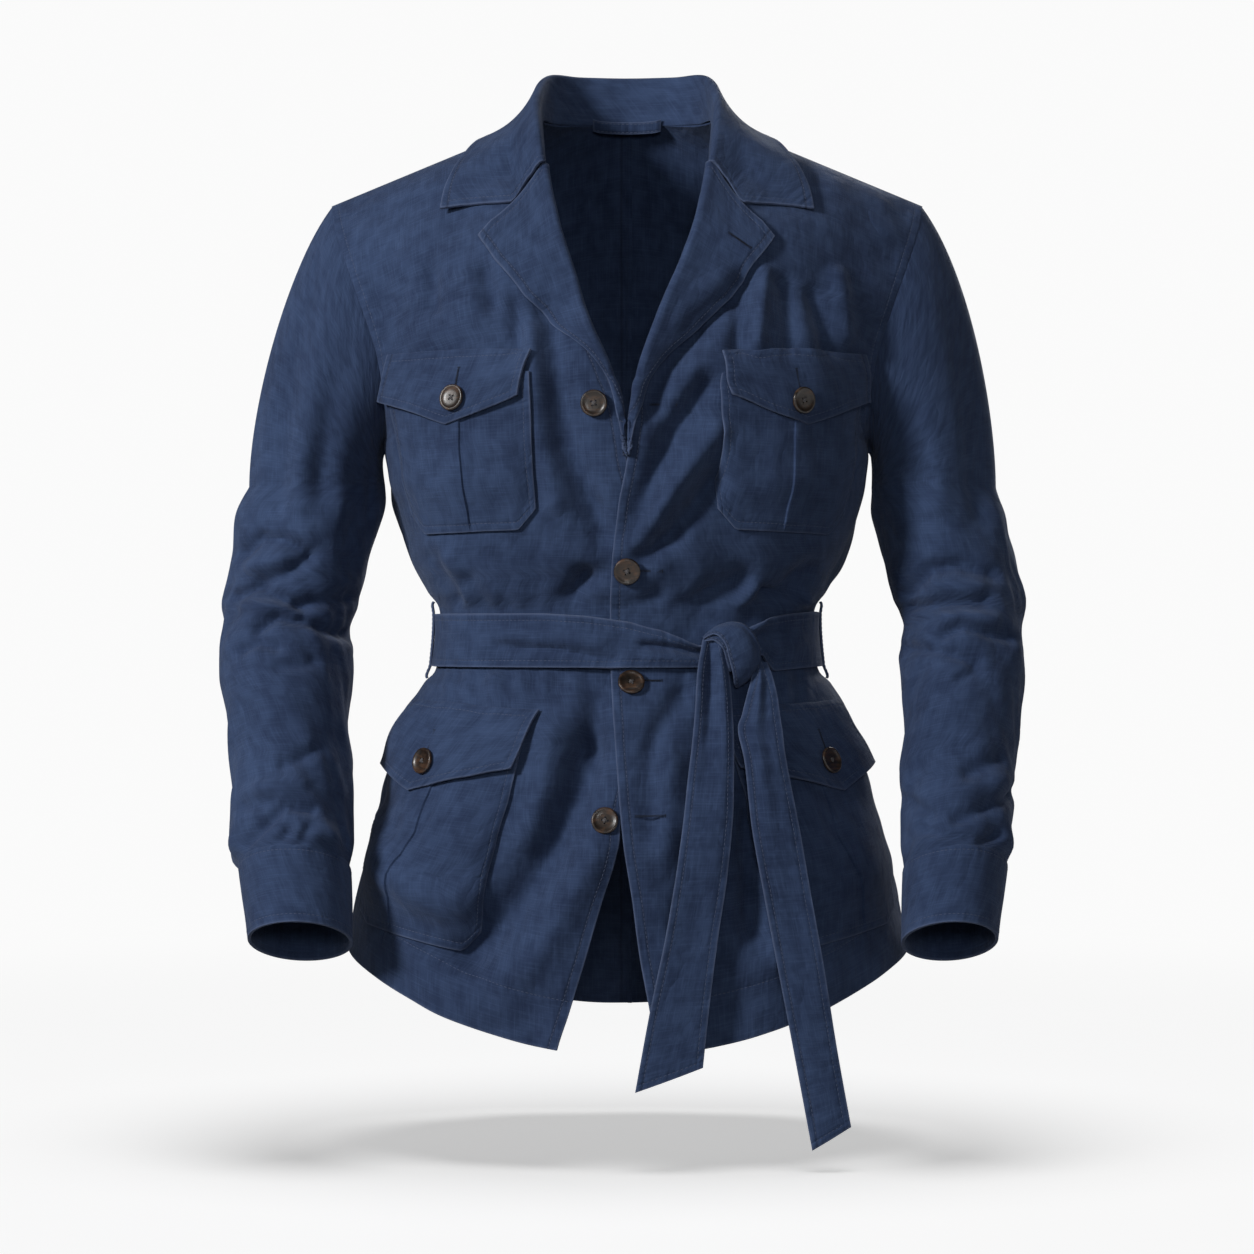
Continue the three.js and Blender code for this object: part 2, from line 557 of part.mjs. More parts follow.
// Each lapel, from the end of its roll up to the gorge seam: the height on the roll line, and the
// outer edge seen from the front. Dip bends the top edge down toward the notch.
const LAPEL = table(
  ['rollZ', 'edgeX', 'edgeZ', 'edgeLift', 'dip'],
  [-225, 12.5, -223, 4.2, 0],
  [-213, 17.5, -207, 3.6, 0],
  [-194, 31, -189, 3.4, 0],
  [-170, 54, -170, 3.6, 0],
  [-138, 76, -148, 3.8, 0],
  [-98, 95, -124, 4, 1],
  [-50, 108.5, -105, 4.4, 6.5],
);
const LAPEL_SEAM = 1.3; // how far a lapel's inner end stays off the front's edge
const LAPEL_CLEAR = 3.2; // the middle of a lapel stays at least this far off the chest
const LAPEL_SHARES = [0.14, 0.3, 0.46, 0.62, 0.8, 1];
function lapelSection(side, f) {
  const row = rowAt(LAPEL, f);
  const [t, v] = frontEdgePlace(side, row.rollZ);
  const out = clothNormal('front', side, t, v);
  const edge = overCloth('front', side, side * row.edgeX, row.edgeZ, row.edgeLift);
  // The hem of the roll turns squarely off the front's edge.
  const [above, below] = [6, -6].map((step) => {
    const [t2, v2] = frontEdgePlace(side, row.rollZ + step);
    return clothPoint('front', side, t2, v2);
  });
  const outward = above.sub(below).cross(out).multiplyScalar(side).normalize();
  const seam = clothPoint('front', side, t, v).addScaledVector(out, -CLOTH / 2)
    .addScaledVector(outward, -LAPEL_SEAM);
  const fold = seam.clone().addScaledVector(outward, -FOLD_RADIUS);
  // The turned section folds toward the front first, so its fall comes back over the chest.
  const section = turnedSection(seam, fold, edge, out, 1, LAPEL_SHARES, 0.5);
  return section.slice(1).map((p, i) => {
    const share = i < FOLD_STEPS + 1 ? 0 : LAPEL_SHARES[i - FOLD_STEPS - 1];
    if (share === 0) return p;
    p.z -= row.dip * Math.sin(Math.PI * Math.min(1, 1.25 * share));
    const clear = overCloth('front', side, p.x, p.z, LAPEL_CLEAR);
    p.y = Math.min(p.y, clear.y);
    return p;
  });
}

for (const [name, side] of SIDES) {
  add('lapel_' + name, sheet(steps(0, LAPEL.length - 1, 9).map((f) => lapelSection(side, f)), DOUBLED));
}

// Half of the collar, from the centre back to the front end: the neck seam, the fold, and the outer
// edge, which lies over a panel at a height. The other half mirrors it.
const COLLAR = table(
  ['seamX', 'seamY', 'seamZ', 'foldX', 'foldY', 'foldZ', 'edgeX', 'edgeY', 'edgeZ'],
  [0, 61.2, 10.2, 0, 70, 43, 0, 83, -8],
  [33, 53, 9.4, 36, 61, 42.5, 47, 75, -10.5],
  [56.6, 31, 6.2, 59, 35, 39, 86, 48, -15],
  [65.6, 0, 1.2, 67, -4, 19, 112, 2, -15.5],
  [65, -29, -13, 67.5, -34, -1, 128, -36, -38],
  [63.6, -49, -28.6, 66, -56, -21.5, 137.5, -55, -60],
  [62.2, -63, -44.4, 62.6, -72, -43.5, 141, -68, -79],
);
const COLLAR_SHARES = [0.12, 0.26, 0.42, 0.6, 0.8, 1];
const COLLAR_CLEAR = 3.2;
const COLLAR_HUG = 6; // the fall curves in toward the neck over the shoulders
const GORGE_DIP = [8, 22, 17, 11, 5, 0]; // how far the front end of the fall drops to the notch
function collarSection(side, f) {
  const row = rowAt(COLLAR, f);
  const corner = (key) => point(side * row[key + 'X'], row[key + 'Y'], row[key + 'Z']);
  const [seam, fold, edge] = ['seam', 'fold', 'edge'].map(corner);
  const hug = COLLAR_HUG * bell((f - 3) / 1.1);
  const section = turnedSection(seam, fold, edge, edge.clone().sub(fold), 2, COLLAR_SHARES, 1 - hug);
  const dropped = smooth(COLLAR.length - 2.6, COLLAR.length - 1, f);
  COLLAR_SHARES.forEach((share, i) => {
    const p = section[section.length - COLLAR_SHARES.length + i];
    p.z -= GORGE_DIP[i] * dropped;
    if (f > 4) p.y = Math.min(p.y, overCloth('front', side, p.x, p.z, COLLAR_CLEAR).y);
    if (f < 2) p.y = Math.max(p.y, overCloth('back', side, p.x, p.z, COLLAR_CLEAR).y);
  });
  return section;
}
const collarStations = steps(0, COLLAR.length - 1, 12);
const collarRows = [
  ...collarStations.slice(1).reverse().map((f) => collarSection(-1, f)),
  ...collarStations.map((f) => collarSection(1, f)),
];
add('collar', sheet(collarRows, DOUBLED));

// Pockets and flaps

// Outlines as seen from the front, on both fronts alike: x is the distance from the centre plane.
// Share runs from the outer end to the inner end of the upper and of the lower edge.
const OUTLINE = ['share', 'x', 'z'];
const CHEST_POCKET = {
  name: 'chest_pocket',
  upper: table(OUTLINE, [0, 180, -207], [1, 70, -207]),
  lower: table(OUTLINE, [0, 162, -308], [0.15, 150, -324], [0.85, 80, -322], [1, 67, -307]),
  swell: 6,
  pleat: 0.5,
};
const CHEST_FLAP = {
  name: 'chest_flap',
  upper: table(OUTLINE, [0, 179, -188.5], [0.5, 124, -187.5], [1, 69.5, -191]),
  lower: table(OUTLINE, [0, 181.5, -222], [0.5, 130.5, -243], [1, 76, -223]),
  rise: 5,
  button: [0.53, 0.7],
};
const LOW_POCKET = {
  name: 'low_pocket',
  upper: table(OUTLINE, [0, 172, -474], [1, 76, -478]),
  lower: table(OUTLINE, [0, 204, -606], [0.12, 195, -618], [0.88, 127, -632], [1, 112, -617]),
  swell: 11,
  pleat: 0.38,
};
const LOW_FLAP = {
  name: 'low_flap',
  upper: table(OUTLINE, [0, 158, -451], [0.5, 116, -453], [1, 63, -456.5]),
  lower: table(OUTLINE, [0, 181, -500], [0.25, 158, -517], [1, 82.5, -499]),
  rise: 6.5,
  button: [0.31, 0.68],
};
const POCKET_LIFT = 1;

function along(rows, key, share) {
  let i = 0;
  while (i < rows.length - 2 && rows[i + 1].share < share) i += 1;
  const part = (share - rows[i].share) / (rows[i + 1].share - rows[i].share);
  return mix(rows[i][key], rows[i + 1][key], part);
}

// A pocket bellows out from its sewn edges and has a pleat down it; a flap tips out from its top.
function pocketLift(piece, u, w) {
  const dome = (4 * u * (1 - u)) ** 0.6 * smooth(0.08, 0.6, w) * smooth(1, 0.66, w);
  const pleat = 0.35 * bell((u - piece.pleat) / 0.08);
  return POCKET_LIFT + piece.swell * dome * (1 - pleat);
}
const flapLift = (piece, u, w) => POCKET_LIFT + piece.rise * w ** 0.75;

function patchPoint(side, piece, u, w, height) {
  const x = mix(along(piece.upper, 'x', u), along(piece.lower, 'x', u), w);
  const z = mix(along(piece.upper, 'z', u), along(piece.lower, 'z', u), w);
  const lift = piece.swell ? pocketLift(piece, u, w) : flapLift(piece, u, w);
  return overCloth('front', side, side * x, z, lift + height);
}

function patch(side, piece, thickness, us, ws) {
  const face = (height) => ws.map((w) => us.map((u) => patchPoint(side, piece, u, w, height)));
  return solid(face(thickness), face(0));
}

const POCKET_US = (piece) => [0, piece.lower[1].share, 0.26, 0.38, 0.5, 0.62, 0.74, piece.lower[2].share, 1];
const FLAP_US = (piece) => piece.lower[1].share === 0.5
  ? [0, 0.17, 0.34, 0.5, 0.66, 0.83, 1] : [0, 0.12, 0.25, 0.44, 0.63, 0.82, 1];
for (const [name, side] of SIDES) {
  for (const piece of [CHEST_POCKET, LOW_POCKET]) {
    add(`${piece.name}_${name}`, patch(side, piece, CLOTH, POCKET_US(piece), steps(0, 1, 8)));
  }
  for (const piece of [CHEST_FLAP, LOW_FLAP]) {
    add(`${piece.name}_${name}`, patch(side, piece, DOUBLED, FLAP_US(piece), steps(0, 1, 3)));
  }
}

// Belt

const BELT_GAP = 2; // the belt stands this far off the bare form, and further over the doubled fronts
const BELT_OVER_FRONT = 3;
const BELT_COLUMNS = 9;
const QUARTERS = [['front', -1, 1, 0], ['front', 1, 0, 1], ['back', 1, 1, 0], ['back', -1, 0, 1]];
const BELT_PINCH = 13; // the belt's upper edge is drawn down where it runs into the knot
const PINCH_X = 50;
function beltPoint(face, side, t, k, height) {
  const v = mix(level('belt low'), level('belt high'), (k + 1) / 2);
  const form = (u, w) => formPoint(face, side, u, w);
  const base = form(t, v);
  const atFront = face === 'front' ? 1 : 0;
  const bridge = atFront * BELT_OVER_FRONT * bell(Math.max(Math.abs(base.x) - 20, 0) / 30);
  const pinch = atFront * BELT_PINCH * smooth(10, PINCH_X, base.x) * smooth(90, PINCH_X + 14, base.x);
  base.z = BELT_Z + (k * BELT_WIDTH) / 2 - pinch * smooth(-1, 1, k);
  const out = outwardOf(face, side, form, t, v).setZ(0).normalize();
  return base.addScaledVector(out, BELT_GAP + bridge + height);
}

function beltRing(k, height) {
  return QUARTERS.flatMap(([face, side, from, to]) => steps(from, to, BELT_COLUMNS).slice(0, -1)
    .map((t) => beltPoint(face, side, t, k, height)));
}
const beltFaces = [DOUBLED, 0].map((height) => [-1, 0, 1].map((k) => beltRing(k, height)));
add('belt', solid(...beltFaces, true));

// A closed solid round a row of rings, with a point at the middle of each end.
function loft(rings) {
  const columns = rings[0].length;
  const middle = (ring) => ring.reduce((sum, p) => sum.add(p), point(0, 0, 0)).divideScalar(columns);
  const points = [...rings.flat(), middle(rings[0]), middle(rings[rings.length - 1])];
  const index = [];
  const at = (i, j) => i * columns + (j % columns);
  for (let j = 0; j < columns; j += 1) {
    for (let i = 0; i < rings.length - 1; i += 1) {
      index.push(at(i, j), at(i, j + 1), at(i + 1, j + 1), at(i, j), at(i + 1, j + 1), at(i + 1, j));
    }
    index.push(at(0, j + 1), at(0, j), points.length - 2);
    index.push(at(rings.length - 1, j), at(rings.length - 1, j + 1), points.length - 1);
  }
  return geometryOf(points, index);
}

// The knot: the belt's end wraps once, from the upper right edge of the belt down over itself.
// Each row is a slice across the wrap: its middle, half width, half thickness and how far it leans.
const KNOT = table(
  ['x', 'y', 'z', 'half', 'thick', 'lean'],
  [81, -102.4, -387, 9, 3, 12],
  [79, -105.4, -390, 17, 6, 10],
  [77, -107.9, -398, 22, 9, 8],
  [78, -109.4, -409, 22, 10.5, 4],
  [82, -109.9, -421, 18.5, 10, 2],
  [86, -109.4, -432, 15.5, 8.5, 0],
  [87.5, -108, -441, 12.5, 5, 0],
);
const KNOT_TURN = -28; // the knot sits on the curve of the front
const knotRings = steps(0, KNOT.length - 1, 9).map((f) => {
  const row = rowAt(KNOT, f);
  const lean = row.lean * DEGREE;
  const turn = KNOT_TURN * DEGREE;
  return around(12).map((angle) => {
    const [c, s] = [Math.cos(angle * DEGREE), Math.sin(angle * DEGREE)];
    const across = row.half * Math.sign(c) * Math.abs(c) ** 0.8;
    const off = row.thick * Math.sign(s) * Math.abs(s) ** 0.8;
    const [dx, dz] = [across * Math.cos(lean), across * Math.sin(lean)];
    return point(
      row.x + dx * Math.cos(turn) - off * Math.sin(turn),
      row.y - dx * Math.sin(turn) - off * Math.cos(turn),
      row.z + dz,
    );
  });
});
add('belt_knot', loft(knotRings));

// The two hanging ends of the belt. Each row is a line across an end: its two edges and its curl.
const TAIL = ['leftX', 'leftY', 'leftZ', 'rightX', 'rightY', 'rightZ', 'curl'];
const BELT_ENDS = {
  inner: table(
    TAIL,
    [53.5, -113, -419, 63, -113, -421, 1],
    [52.5, -116, -436, 70, -115, -440, 2],
    [51, -121, -450, 79, -121, -450, 3],
    [47.5, -131, -480, 79, -131, -479, 4],
    [41, -144, -535, 77.2, -142, -535, 3],
    [35, -151, -578, 72.7, -147, -578, 1],
    [27.7, -155, -622, 66.2, -151, -620, -2],
    [16.7, -158, -672, 59.6, -155, -671, 2],
    [5.8, -160, -731, 55, -159, -713, 3],
  ),
  outer: table(
    TAIL,
    [79, -111, -441.9, 98.5, -107, -441.9, 1],
    [82.5, -121, -459, 108, -116, -458, 3],
    [84, -132, -492, 116, -127, -490, 4],
    [91.5, -141, -544, 126.5, -137, -543, 2],
    [101, -144, -594, 135, -141, -593, -2],
    [110.2, -147, -645, 143.8, -144, -643, 2],
    [121, -150, -702, 152.7, -147, -700, 3],
    [134.4, -153, -774, 162.8, -151, -757, 2],
  ),
};
for (const [name, rows] of Object.entries(BELT_ENDS)) {
  const grid = steps(0, rows.length - 1, 10).map((f) => {
    const row = rowAt(rows, f);
    return steps(0, 1, 3).map((share) => point(
      mix(row.leftX, row.rightX, share),
      mix(row.leftY, row.rightY, share) - row.curl * Math.sin(Math.PI * share),
      mix(row.leftZ, row.rightZ, share),
    ));
  });
  add('belt_end_' + name, sheet(grid, DOUBLED));
}

// The loops that keep the belt up at the side seams, and the loop that the jacket hangs by.
const LOOP_WIDTH = 9;
const BELT_LOOP = table(
  ['z', 'off'],
  [-374, 1.4], [-377, 4.5], [-384, 6.2], [-404, 6.8], [-424, 6.2], [-431, 4.5], [-434, 1.6],
);
for (const [name, side] of SIDES) {
  const grid = BELT_LOOP.map((row) => {
    const v = placeOnSide(row.z);
    const edge = clothPoint('front', side, 1, v);
    return [-1, 0, 1].map((share) => point(
      edge.x + side * (row.off - 0.35 * share * share),
      edge.y + (share * LOOP_WIDTH) / 2,
      row.z,
    ));
  });
  add('belt_loop_' + name, sheet(grid, CLOTH));
}

const HANGER = table(
  ['x', 'y', 'z'],
  [-26, 52.8, 8], [-24, 53.5, 2], [-20, 54.9, -1.5], [-10, 57.1, -2.5], [0, 57.8, -2.5],
  [10, 57.1, -2.5], [20, 54.9, -1.5], [24, 53.5, 2], [26, 52.8, 8],
);
const HANGER_WIDTH = 7;
const HANGER_LEAN = 1.5; // its upper edge stands this much nearer the front
add('hanger_loop', sheet(HANGER.map((row) => [0, 1].map((share) =>
  point(row.x, row.y - HANGER_LEAN * share, row.z + HANGER_WIDTH * share))), CLOTH));

// Buttons

// A button's profile from its back to its face, as radius and height: a raised rim round a dish.
const BUTTON = table(
  ['radius', 'height'],
  [0, 0], [7, 0], [9.9, 1.2], [9.6, 2.9], [8.2, 3.2], [6.6, 2.3], [0, 2.3],
);
const BUTTON_SEGMENTS = 14;
const FRONT_SCALE = 1;
const POCKET_SCALE = 0.96;
const HOLE_RADIUS = 1;
const HOLE_OFFSET = 1.9;
const wasm = await Module();
wasm.setup();

function toManifold(geometry) {
  const mesh = new wasm.Mesh({
    numProp: 3,
    vertProperties: new Float32Array(geometry.getAttribute('position').array),
    triVerts: new Uint32Array(geometry.index.array),
  });
  mesh.merge();
  return new wasm.Manifold(mesh);
}

function fromManifold(manifold) {
  const mesh = manifold.getMesh();
  const points = [];
  for (let i = 0; i < mesh.vertProperties.length; i += 3) {
    points.push(point(mesh.vertProperties[i], mesh.vertProperties[i + 1], mesh.vertProperties[i + 2]));
  }
  return geometryOf(points, Array.from(mesh.triVerts));
}

function buttonShape() {
  const rings = BUTTON.slice(1, -1).map((row) => around(BUTTON_SEGMENTS).map((angle) =>
    point(row.radius * Math.cos(angle * DEGREE), row.radius * Math.sin(angle * DEGREE), row.height)));
  let body = toManifold(loft(rings));
  for (const [x, y] of [[1, 1], [1, -1], [-1, 1], [-1, -1]]) {
    const hole = wasm.Manifold.cylinder(6, HOLE_RADIUS, HOLE_RADIUS, 5, true);
    body = body.subtract(hole.translate([x * HOLE_OFFSET, y * HOLE_OFFSET, 1]));
  }
  return fromManifold(body);
}
const BUTTON_SHAPE = buttonShape();
const BUTTON_SHANK = 0.5; // thread holds a button this far off the cloth

// A copy of the button at a point of a surface, facing along its outward normal.
function buttonAt(place, outward, scale, turn) {
  const across = new THREE.Vector3(1, 0, 0).addScaledVector(outward, -outward.x).normalize();
  const up = outward.clone().cross(across);
  const spin = new THREE.Matrix4().makeRotationZ(turn * DEGREE);
  const frame = new THREE.Matrix4().makeBasis(across, up, outward).multiply(spin);
  frame.scale(point(scale, scale, scale));
  frame.setPosition(place.clone().addScaledVector(outward, BUTTON_SHANK));
  return BUTTON_SHAPE.clone().applyMatrix4(frame);
}

const FRONT_BUTTONS = table(
  ['side', 'x', 'z', 'turn', 'off'],
  [-1, -24, -230, 8, 0],
  [1, 0, -352, 20, 0],
  [1, 3, -437, -12, 0.1],
  [-1, -16, -536, 35, 0],
);
FRONT_BUTTONS.forEach((row, i) => {
  const [t, v] = placeAt('front', row.side, row.x, row.z);
  const place = clothPoint('front', row.side, t, v);
  const outward = clothNormal('front', row.side, t, v);
  place.addScaledVector(outward, row.off);
  add(`front_button_${i + 1}`, buttonAt(place, outward, FRONT_SCALE, row.turn), HORN);
});
for (const [name, side] of SIDES) {
  for (const piece of [CHEST_FLAP, LOW_FLAP]) {
    const [u, w] = piece.button;
    const face = (a, b) => patchPoint(side, piece, a, b, DOUBLED);
    const outward = normalOf(face, u, w, 0.08);
    if (outward.y > 0) outward.negate();
    const place = face(u, w);
    add(`${piece.name.split('_')[0]}_button_${name}`, buttonAt(place, outward, POCKET_SCALE, 15 * side), HORN);
  }
}

export default jacket;
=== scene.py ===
import math

import bpy
import numpy as np
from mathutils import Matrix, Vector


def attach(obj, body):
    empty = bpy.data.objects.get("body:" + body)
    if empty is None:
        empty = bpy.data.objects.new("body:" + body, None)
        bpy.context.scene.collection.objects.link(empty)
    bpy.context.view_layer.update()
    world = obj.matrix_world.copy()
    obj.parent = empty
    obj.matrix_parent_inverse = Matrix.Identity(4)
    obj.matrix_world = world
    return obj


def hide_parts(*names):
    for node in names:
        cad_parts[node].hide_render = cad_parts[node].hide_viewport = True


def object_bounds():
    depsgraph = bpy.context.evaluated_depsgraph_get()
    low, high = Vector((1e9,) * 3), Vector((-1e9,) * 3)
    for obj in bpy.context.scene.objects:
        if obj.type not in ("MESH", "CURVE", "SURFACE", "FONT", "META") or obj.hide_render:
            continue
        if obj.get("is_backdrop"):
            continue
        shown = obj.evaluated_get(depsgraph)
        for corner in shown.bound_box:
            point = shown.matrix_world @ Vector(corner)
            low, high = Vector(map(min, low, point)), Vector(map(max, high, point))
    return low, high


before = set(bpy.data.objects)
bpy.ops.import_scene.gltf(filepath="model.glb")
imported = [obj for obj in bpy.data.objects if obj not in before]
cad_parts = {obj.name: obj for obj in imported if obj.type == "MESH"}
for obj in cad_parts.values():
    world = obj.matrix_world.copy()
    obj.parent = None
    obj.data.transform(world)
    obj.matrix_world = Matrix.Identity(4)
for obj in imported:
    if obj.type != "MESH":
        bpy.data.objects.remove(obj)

cad_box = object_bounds()

# The view: the jacket keeps the form it has when worn, with nobody in it, over a floor that it doesn't
# touch. The camera is level with its middle, straight in front of it. Lengths here are in metres.
CAMERA_AWAY = 2.4
VIEW_MIDDLE = -0.394
VIEW_WIDTH = 0.972
SENSOR_WIDTH = 36

bpy.ops.object.select_all(action="DESELECT")
bpy.ops.object.camera_add(location=(0, -CAMERA_AWAY, VIEW_MIDDLE), rotation=(math.radians(90), 0, 0))
camera = bpy.context.object
camera.name = "camera"
camera.data.sensor_width = SENSOR_WIDTH
camera.data.lens = SENSOR_WIDTH * CAMERA_AWAY / VIEW_WIDTH
camera.data.clip_end = 100
bpy.context.scene.camera = camera
bpy.context.scene.view_settings.view_transform = "Standard"

# The studio: a plain pale floor just below the belt's ends and a white room round it. The key lamp stands
# at the front left, and weak ones keep the other sides from going black. They leave the floor alone:
# it has a lamp of its own, high over the jacket, which throws the soft shadow on it.
FLOOR_Z = -0.79
FLOOR_RADIUS = 30
FLOOR_FADE = (0.45, 1.7)  # between these distances from the middle the floor turns into the white room
ROOM_WHITE = 0.96
ROOM_FILL = 0.04
FLOOR_GLOW = 0.48
LAMPS = {  # place, size and watts
    "lamp_front_left": ((-2.3, -1.9, 0.9), 0.6, 88),
    "lamp_right": ((2.2, -1.2, -0.1), 1.0, 2),
    "lamp_front": ((0.1, -3.2, 0.2), 0.6, 17),
    "lamp_rear": ((0.9, 2.5, 1.0), 1.2, 40),
    "lamp_overhead": ((-0.1, -0.2, 1.9), 1.3, 7),
    "lamp_over_floor": ((-0.03, -0.1, 3.5), 2.7, 94),
}


class Shade:
    """A socket of a material, so that its sums are written as plain expressions."""

    def __init__(self, tree, socket=None):
        self.tree = tree
        self.socket = socket

    def node(self, kind, inputs=None, output=0, stops=None, **settings):
        made = self.tree.nodes.new(kind)
        for name, value in settings.items():
            setattr(made, name, value)
        if stops:
            ramp = made.color_ramp.elements
            while len(ramp) < len(stops):
                ramp.new(0.5)
            for element, (place, colour) in zip(ramp, stops):
                element.position = place
                element.color = (*colour, 1)
        for key, value in (inputs or {}).items():
            if isinstance(value, Shade):
                self.tree.links.new(value.socket, made.inputs[key])
            else:
                made.inputs[key].default_value = value
        return Shade(self.tree, made.outputs[output])

    def math(self, operation, *others):
        return self.node("ShaderNodeMath", dict(enumerate((self, *others))), operation=operation)

    def __add__(self, other):
        return self.math("ADD", other)

    __radd__ = __add__

    def __sub__(self, other):
        return self.math("SUBTRACT", other)

    def __rsub__(self, other):
        return self * -1 + other

    def __mul__(self, other):
        return self.math("MULTIPLY", other)

    __rmul__ = __mul__

    def __truediv__(self, other):
        return self.math("DIVIDE", other)

    def blend(self, low, high):
        """A colour between two, by this value."""
        return self.node("ShaderNodeMix", {0: self, 6: low, 7: high}, output=2, data_type="RGBA")

    def ease(self, start, end):
        """0 before start and 1 past end, with a soft change between them."""
        span = {"Value": self, "From Min": start, "From Max": end}
        return self.node("ShaderNodeMapRange", span, interpolation_type="SMOOTHSTEP")

    def ridge(self, width):
        """1 where this value is 0, fading to 0 either side of it."""
        share = self / width
        return (share * share * -1).math("EXPONENT")


def new_material(name):
    """A material, a Shade that makes its nodes, and a function that fills its shader's sockets."""
    material = bpy.data.materials.new(name)
    material.use_nodes = True
    shader = material.node_tree.nodes["Principled BSDF"]

    def fill(values):
        for socket, value in values.items():
            if isinstance(value, Shade):
                material.node_tree.links.new(value.socket, shader.inputs[socket])
            else:
                shader.inputs[socket].default_value = value

    return material, Shade(material.node_tree), fill


def grey(value):
    return (value, value, value, 1)


floor_paint, paint, fill = new_material("pale_floor")
spot = paint.node("ShaderNodeTexCoord", output=3)
speckle = paint.node("ShaderNodeTexNoise", {"Vector": spot, "Scale": 3.0, "Detail": 2.0})
from_middle = paint.node("ShaderNodeVectorMath", {0: spot}, output=1, operation="LENGTH")
far_away = from_middle.ease(*FLOOR_FADE)
fill({
    "Base Color": far_away.blend(speckle.blend(grey(0.90), grey(0.93)), grey(0)),
    "Emission Color": far_away.blend(grey(FLOOR_GLOW), grey(ROOM_WHITE)),
    "Emission Strength": 1,
    "Roughness": 0.9,
    "Specular IOR Level": 0,
})

bpy.ops.object.select_all(action="DESELECT")
bpy.ops.mesh.primitive_circle_add(
    vertices=96, radius=FLOOR_RADIUS, fill_type="NGON", location=(0, 0, FLOOR_Z)
)
floor = bpy.context.object
floor.name = "floor"
floor.data.materials.append(floor_paint)
floor.visible_diffuse = False
floor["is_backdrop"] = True

room = bpy.data.worlds.new("white_room")
room.use_nodes = True
air = Shade(room.node_tree)
seen = air.node("ShaderNodeLightPath", output=0)
backdrop = room.node_tree.nodes["Background"]
backdrop.inputs["Color"].default_value = (1, 1, 1, 1)
room.node_tree.links.new((seen * (ROOM_WHITE - ROOM_FILL) + ROOM_FILL).socket, backdrop.inputs["Strength"])
bpy.context.scene.world = room

for name, (place, size, watts) in LAMPS.items():
    bpy.ops.object.light_add(type="AREA", location=place)
    lamp = bpy.context.object
    lamp.name = name
    lamp.data.shape = "DISK"
    lamp.data.size = size
    lamp.data.energy = watts
    aim = -lamp.location
    aim.z += VIEW_MIDDLE
    lamp.rotation_euler = aim.to_track_quat("-Z", "Y").to_euler()
    receivers = bpy.data.collections.new(f"{name}_on_floor")
    receivers.objects.link(floor)
    lamp.light_linking.receiver_collection = receivers
    linked = "INCLUDE" if name == "lamp_over_floor" else "EXCLUDE"
    receivers.collection_objects[0].light_linking.link_state = linked

# The cloth: navy linen in a plain weave. Its yarns are uneven, with slubs both ways, and the pressed
# edges are painted a little lighter, as worn dye and as a painted highlight. The cloth puckers along
# every row of topstitching, and is painted darker there as shade in the sunk stitch line.
YARN = 0.0006
EDGE_WEAR_AND_HIGHLIGHT = 0.0011  # how far in from an edge the worn dye and the painted highlight reach
STITCH_SINK = 0.0011
PUCKER_REACH = 0.0055
NAVY_DEEP = (0.011, 0.022, 0.060, 1)
NAVY_LIGHT = (0.042, 0.073, 0.158, 1)
NAVY_WORN_HIGHLIGHT = (0.110, 0.145, 0.250, 1)
# painted shade for the sunk line of each row of stitching
NAVY_STITCH_SHADE = (0.008, 0.012, 0.028, 1)

linen, cloth, fill = new_material("navy_linen")
place = cloth.node("ShaderNodeUVMap", uv_map="cloth")
across = cloth.node("ShaderNodeSeparateXYZ", {0: place}, output=0)
upright = cloth.node("ShaderNodeSeparateXYZ", {0: place}, output=1)


def stretched_noise(vector, scale, detail=2.0):
    spread = cloth.node("ShaderNodeMapping", {"Vector": vector, "Scale": scale})
    return cloth.node("ShaderNodeTexNoise", {"Vector": spread, "Scale": 1.0, "Detail": detail})


warp_slub = stretched_noise(place, (1100, 38, 1))
weft_slub = stretched_noise(place, (34, 1050, 1))
broad = stretched_noise(cloth.node("ShaderNodeTexCoord", output=3), (11, 11, 11), 3.0)
cloudy = stretched_noise(place, (90, 70, 1), 3.0)
creased = (stretched_noise(place, (30, 22, 1), 3.0) - 0.5).math("ABSOLUTE")

warp_wave = (across * (math.pi / YARN)).math("SINE")
weft_wave = (upright * (math.pi / YARN)).math("SINE")
on_top = (warp_wave * weft_wave).ease(-0.15, 0.15)
weave = on_top * warp_wave.math("ABSOLUTE") + (1 - on_top) * weft_wave.math("ABSOLUTE")

lines = cloth.node("ShaderNodeUVMap", uv_map="stitch_lines")
more_lines = cloth.node("ShaderNodeUVMap", uv_map="more_stitch_lines")
pucker_up = stretched_noise(place, (8, 150, 1), 1.0)
pucker_across = stretched_noise(place, (150, 8, 1), 1.0)
seam_height = None
stitch_shade = None
for pair in (lines, more_lines):
    for axis, pucker in ((0, pucker_up), (1, pucker_across)):
        away = cloth.node("ShaderNodeSeparateXYZ", {0: pair}, output=axis)
        sunk = away.ridge(STITCH_SINK)
        height = away.ridge(PUCKER_REACH) * (pucker - 0.5) * 1.6 - 0.34 * sunk
        seam_height = height if seam_height is None else seam_height + height
        stitch_shade = sunk if stitch_shade is None else stitch_shade.math("MAXIMUM", stitch_shade, sunk)

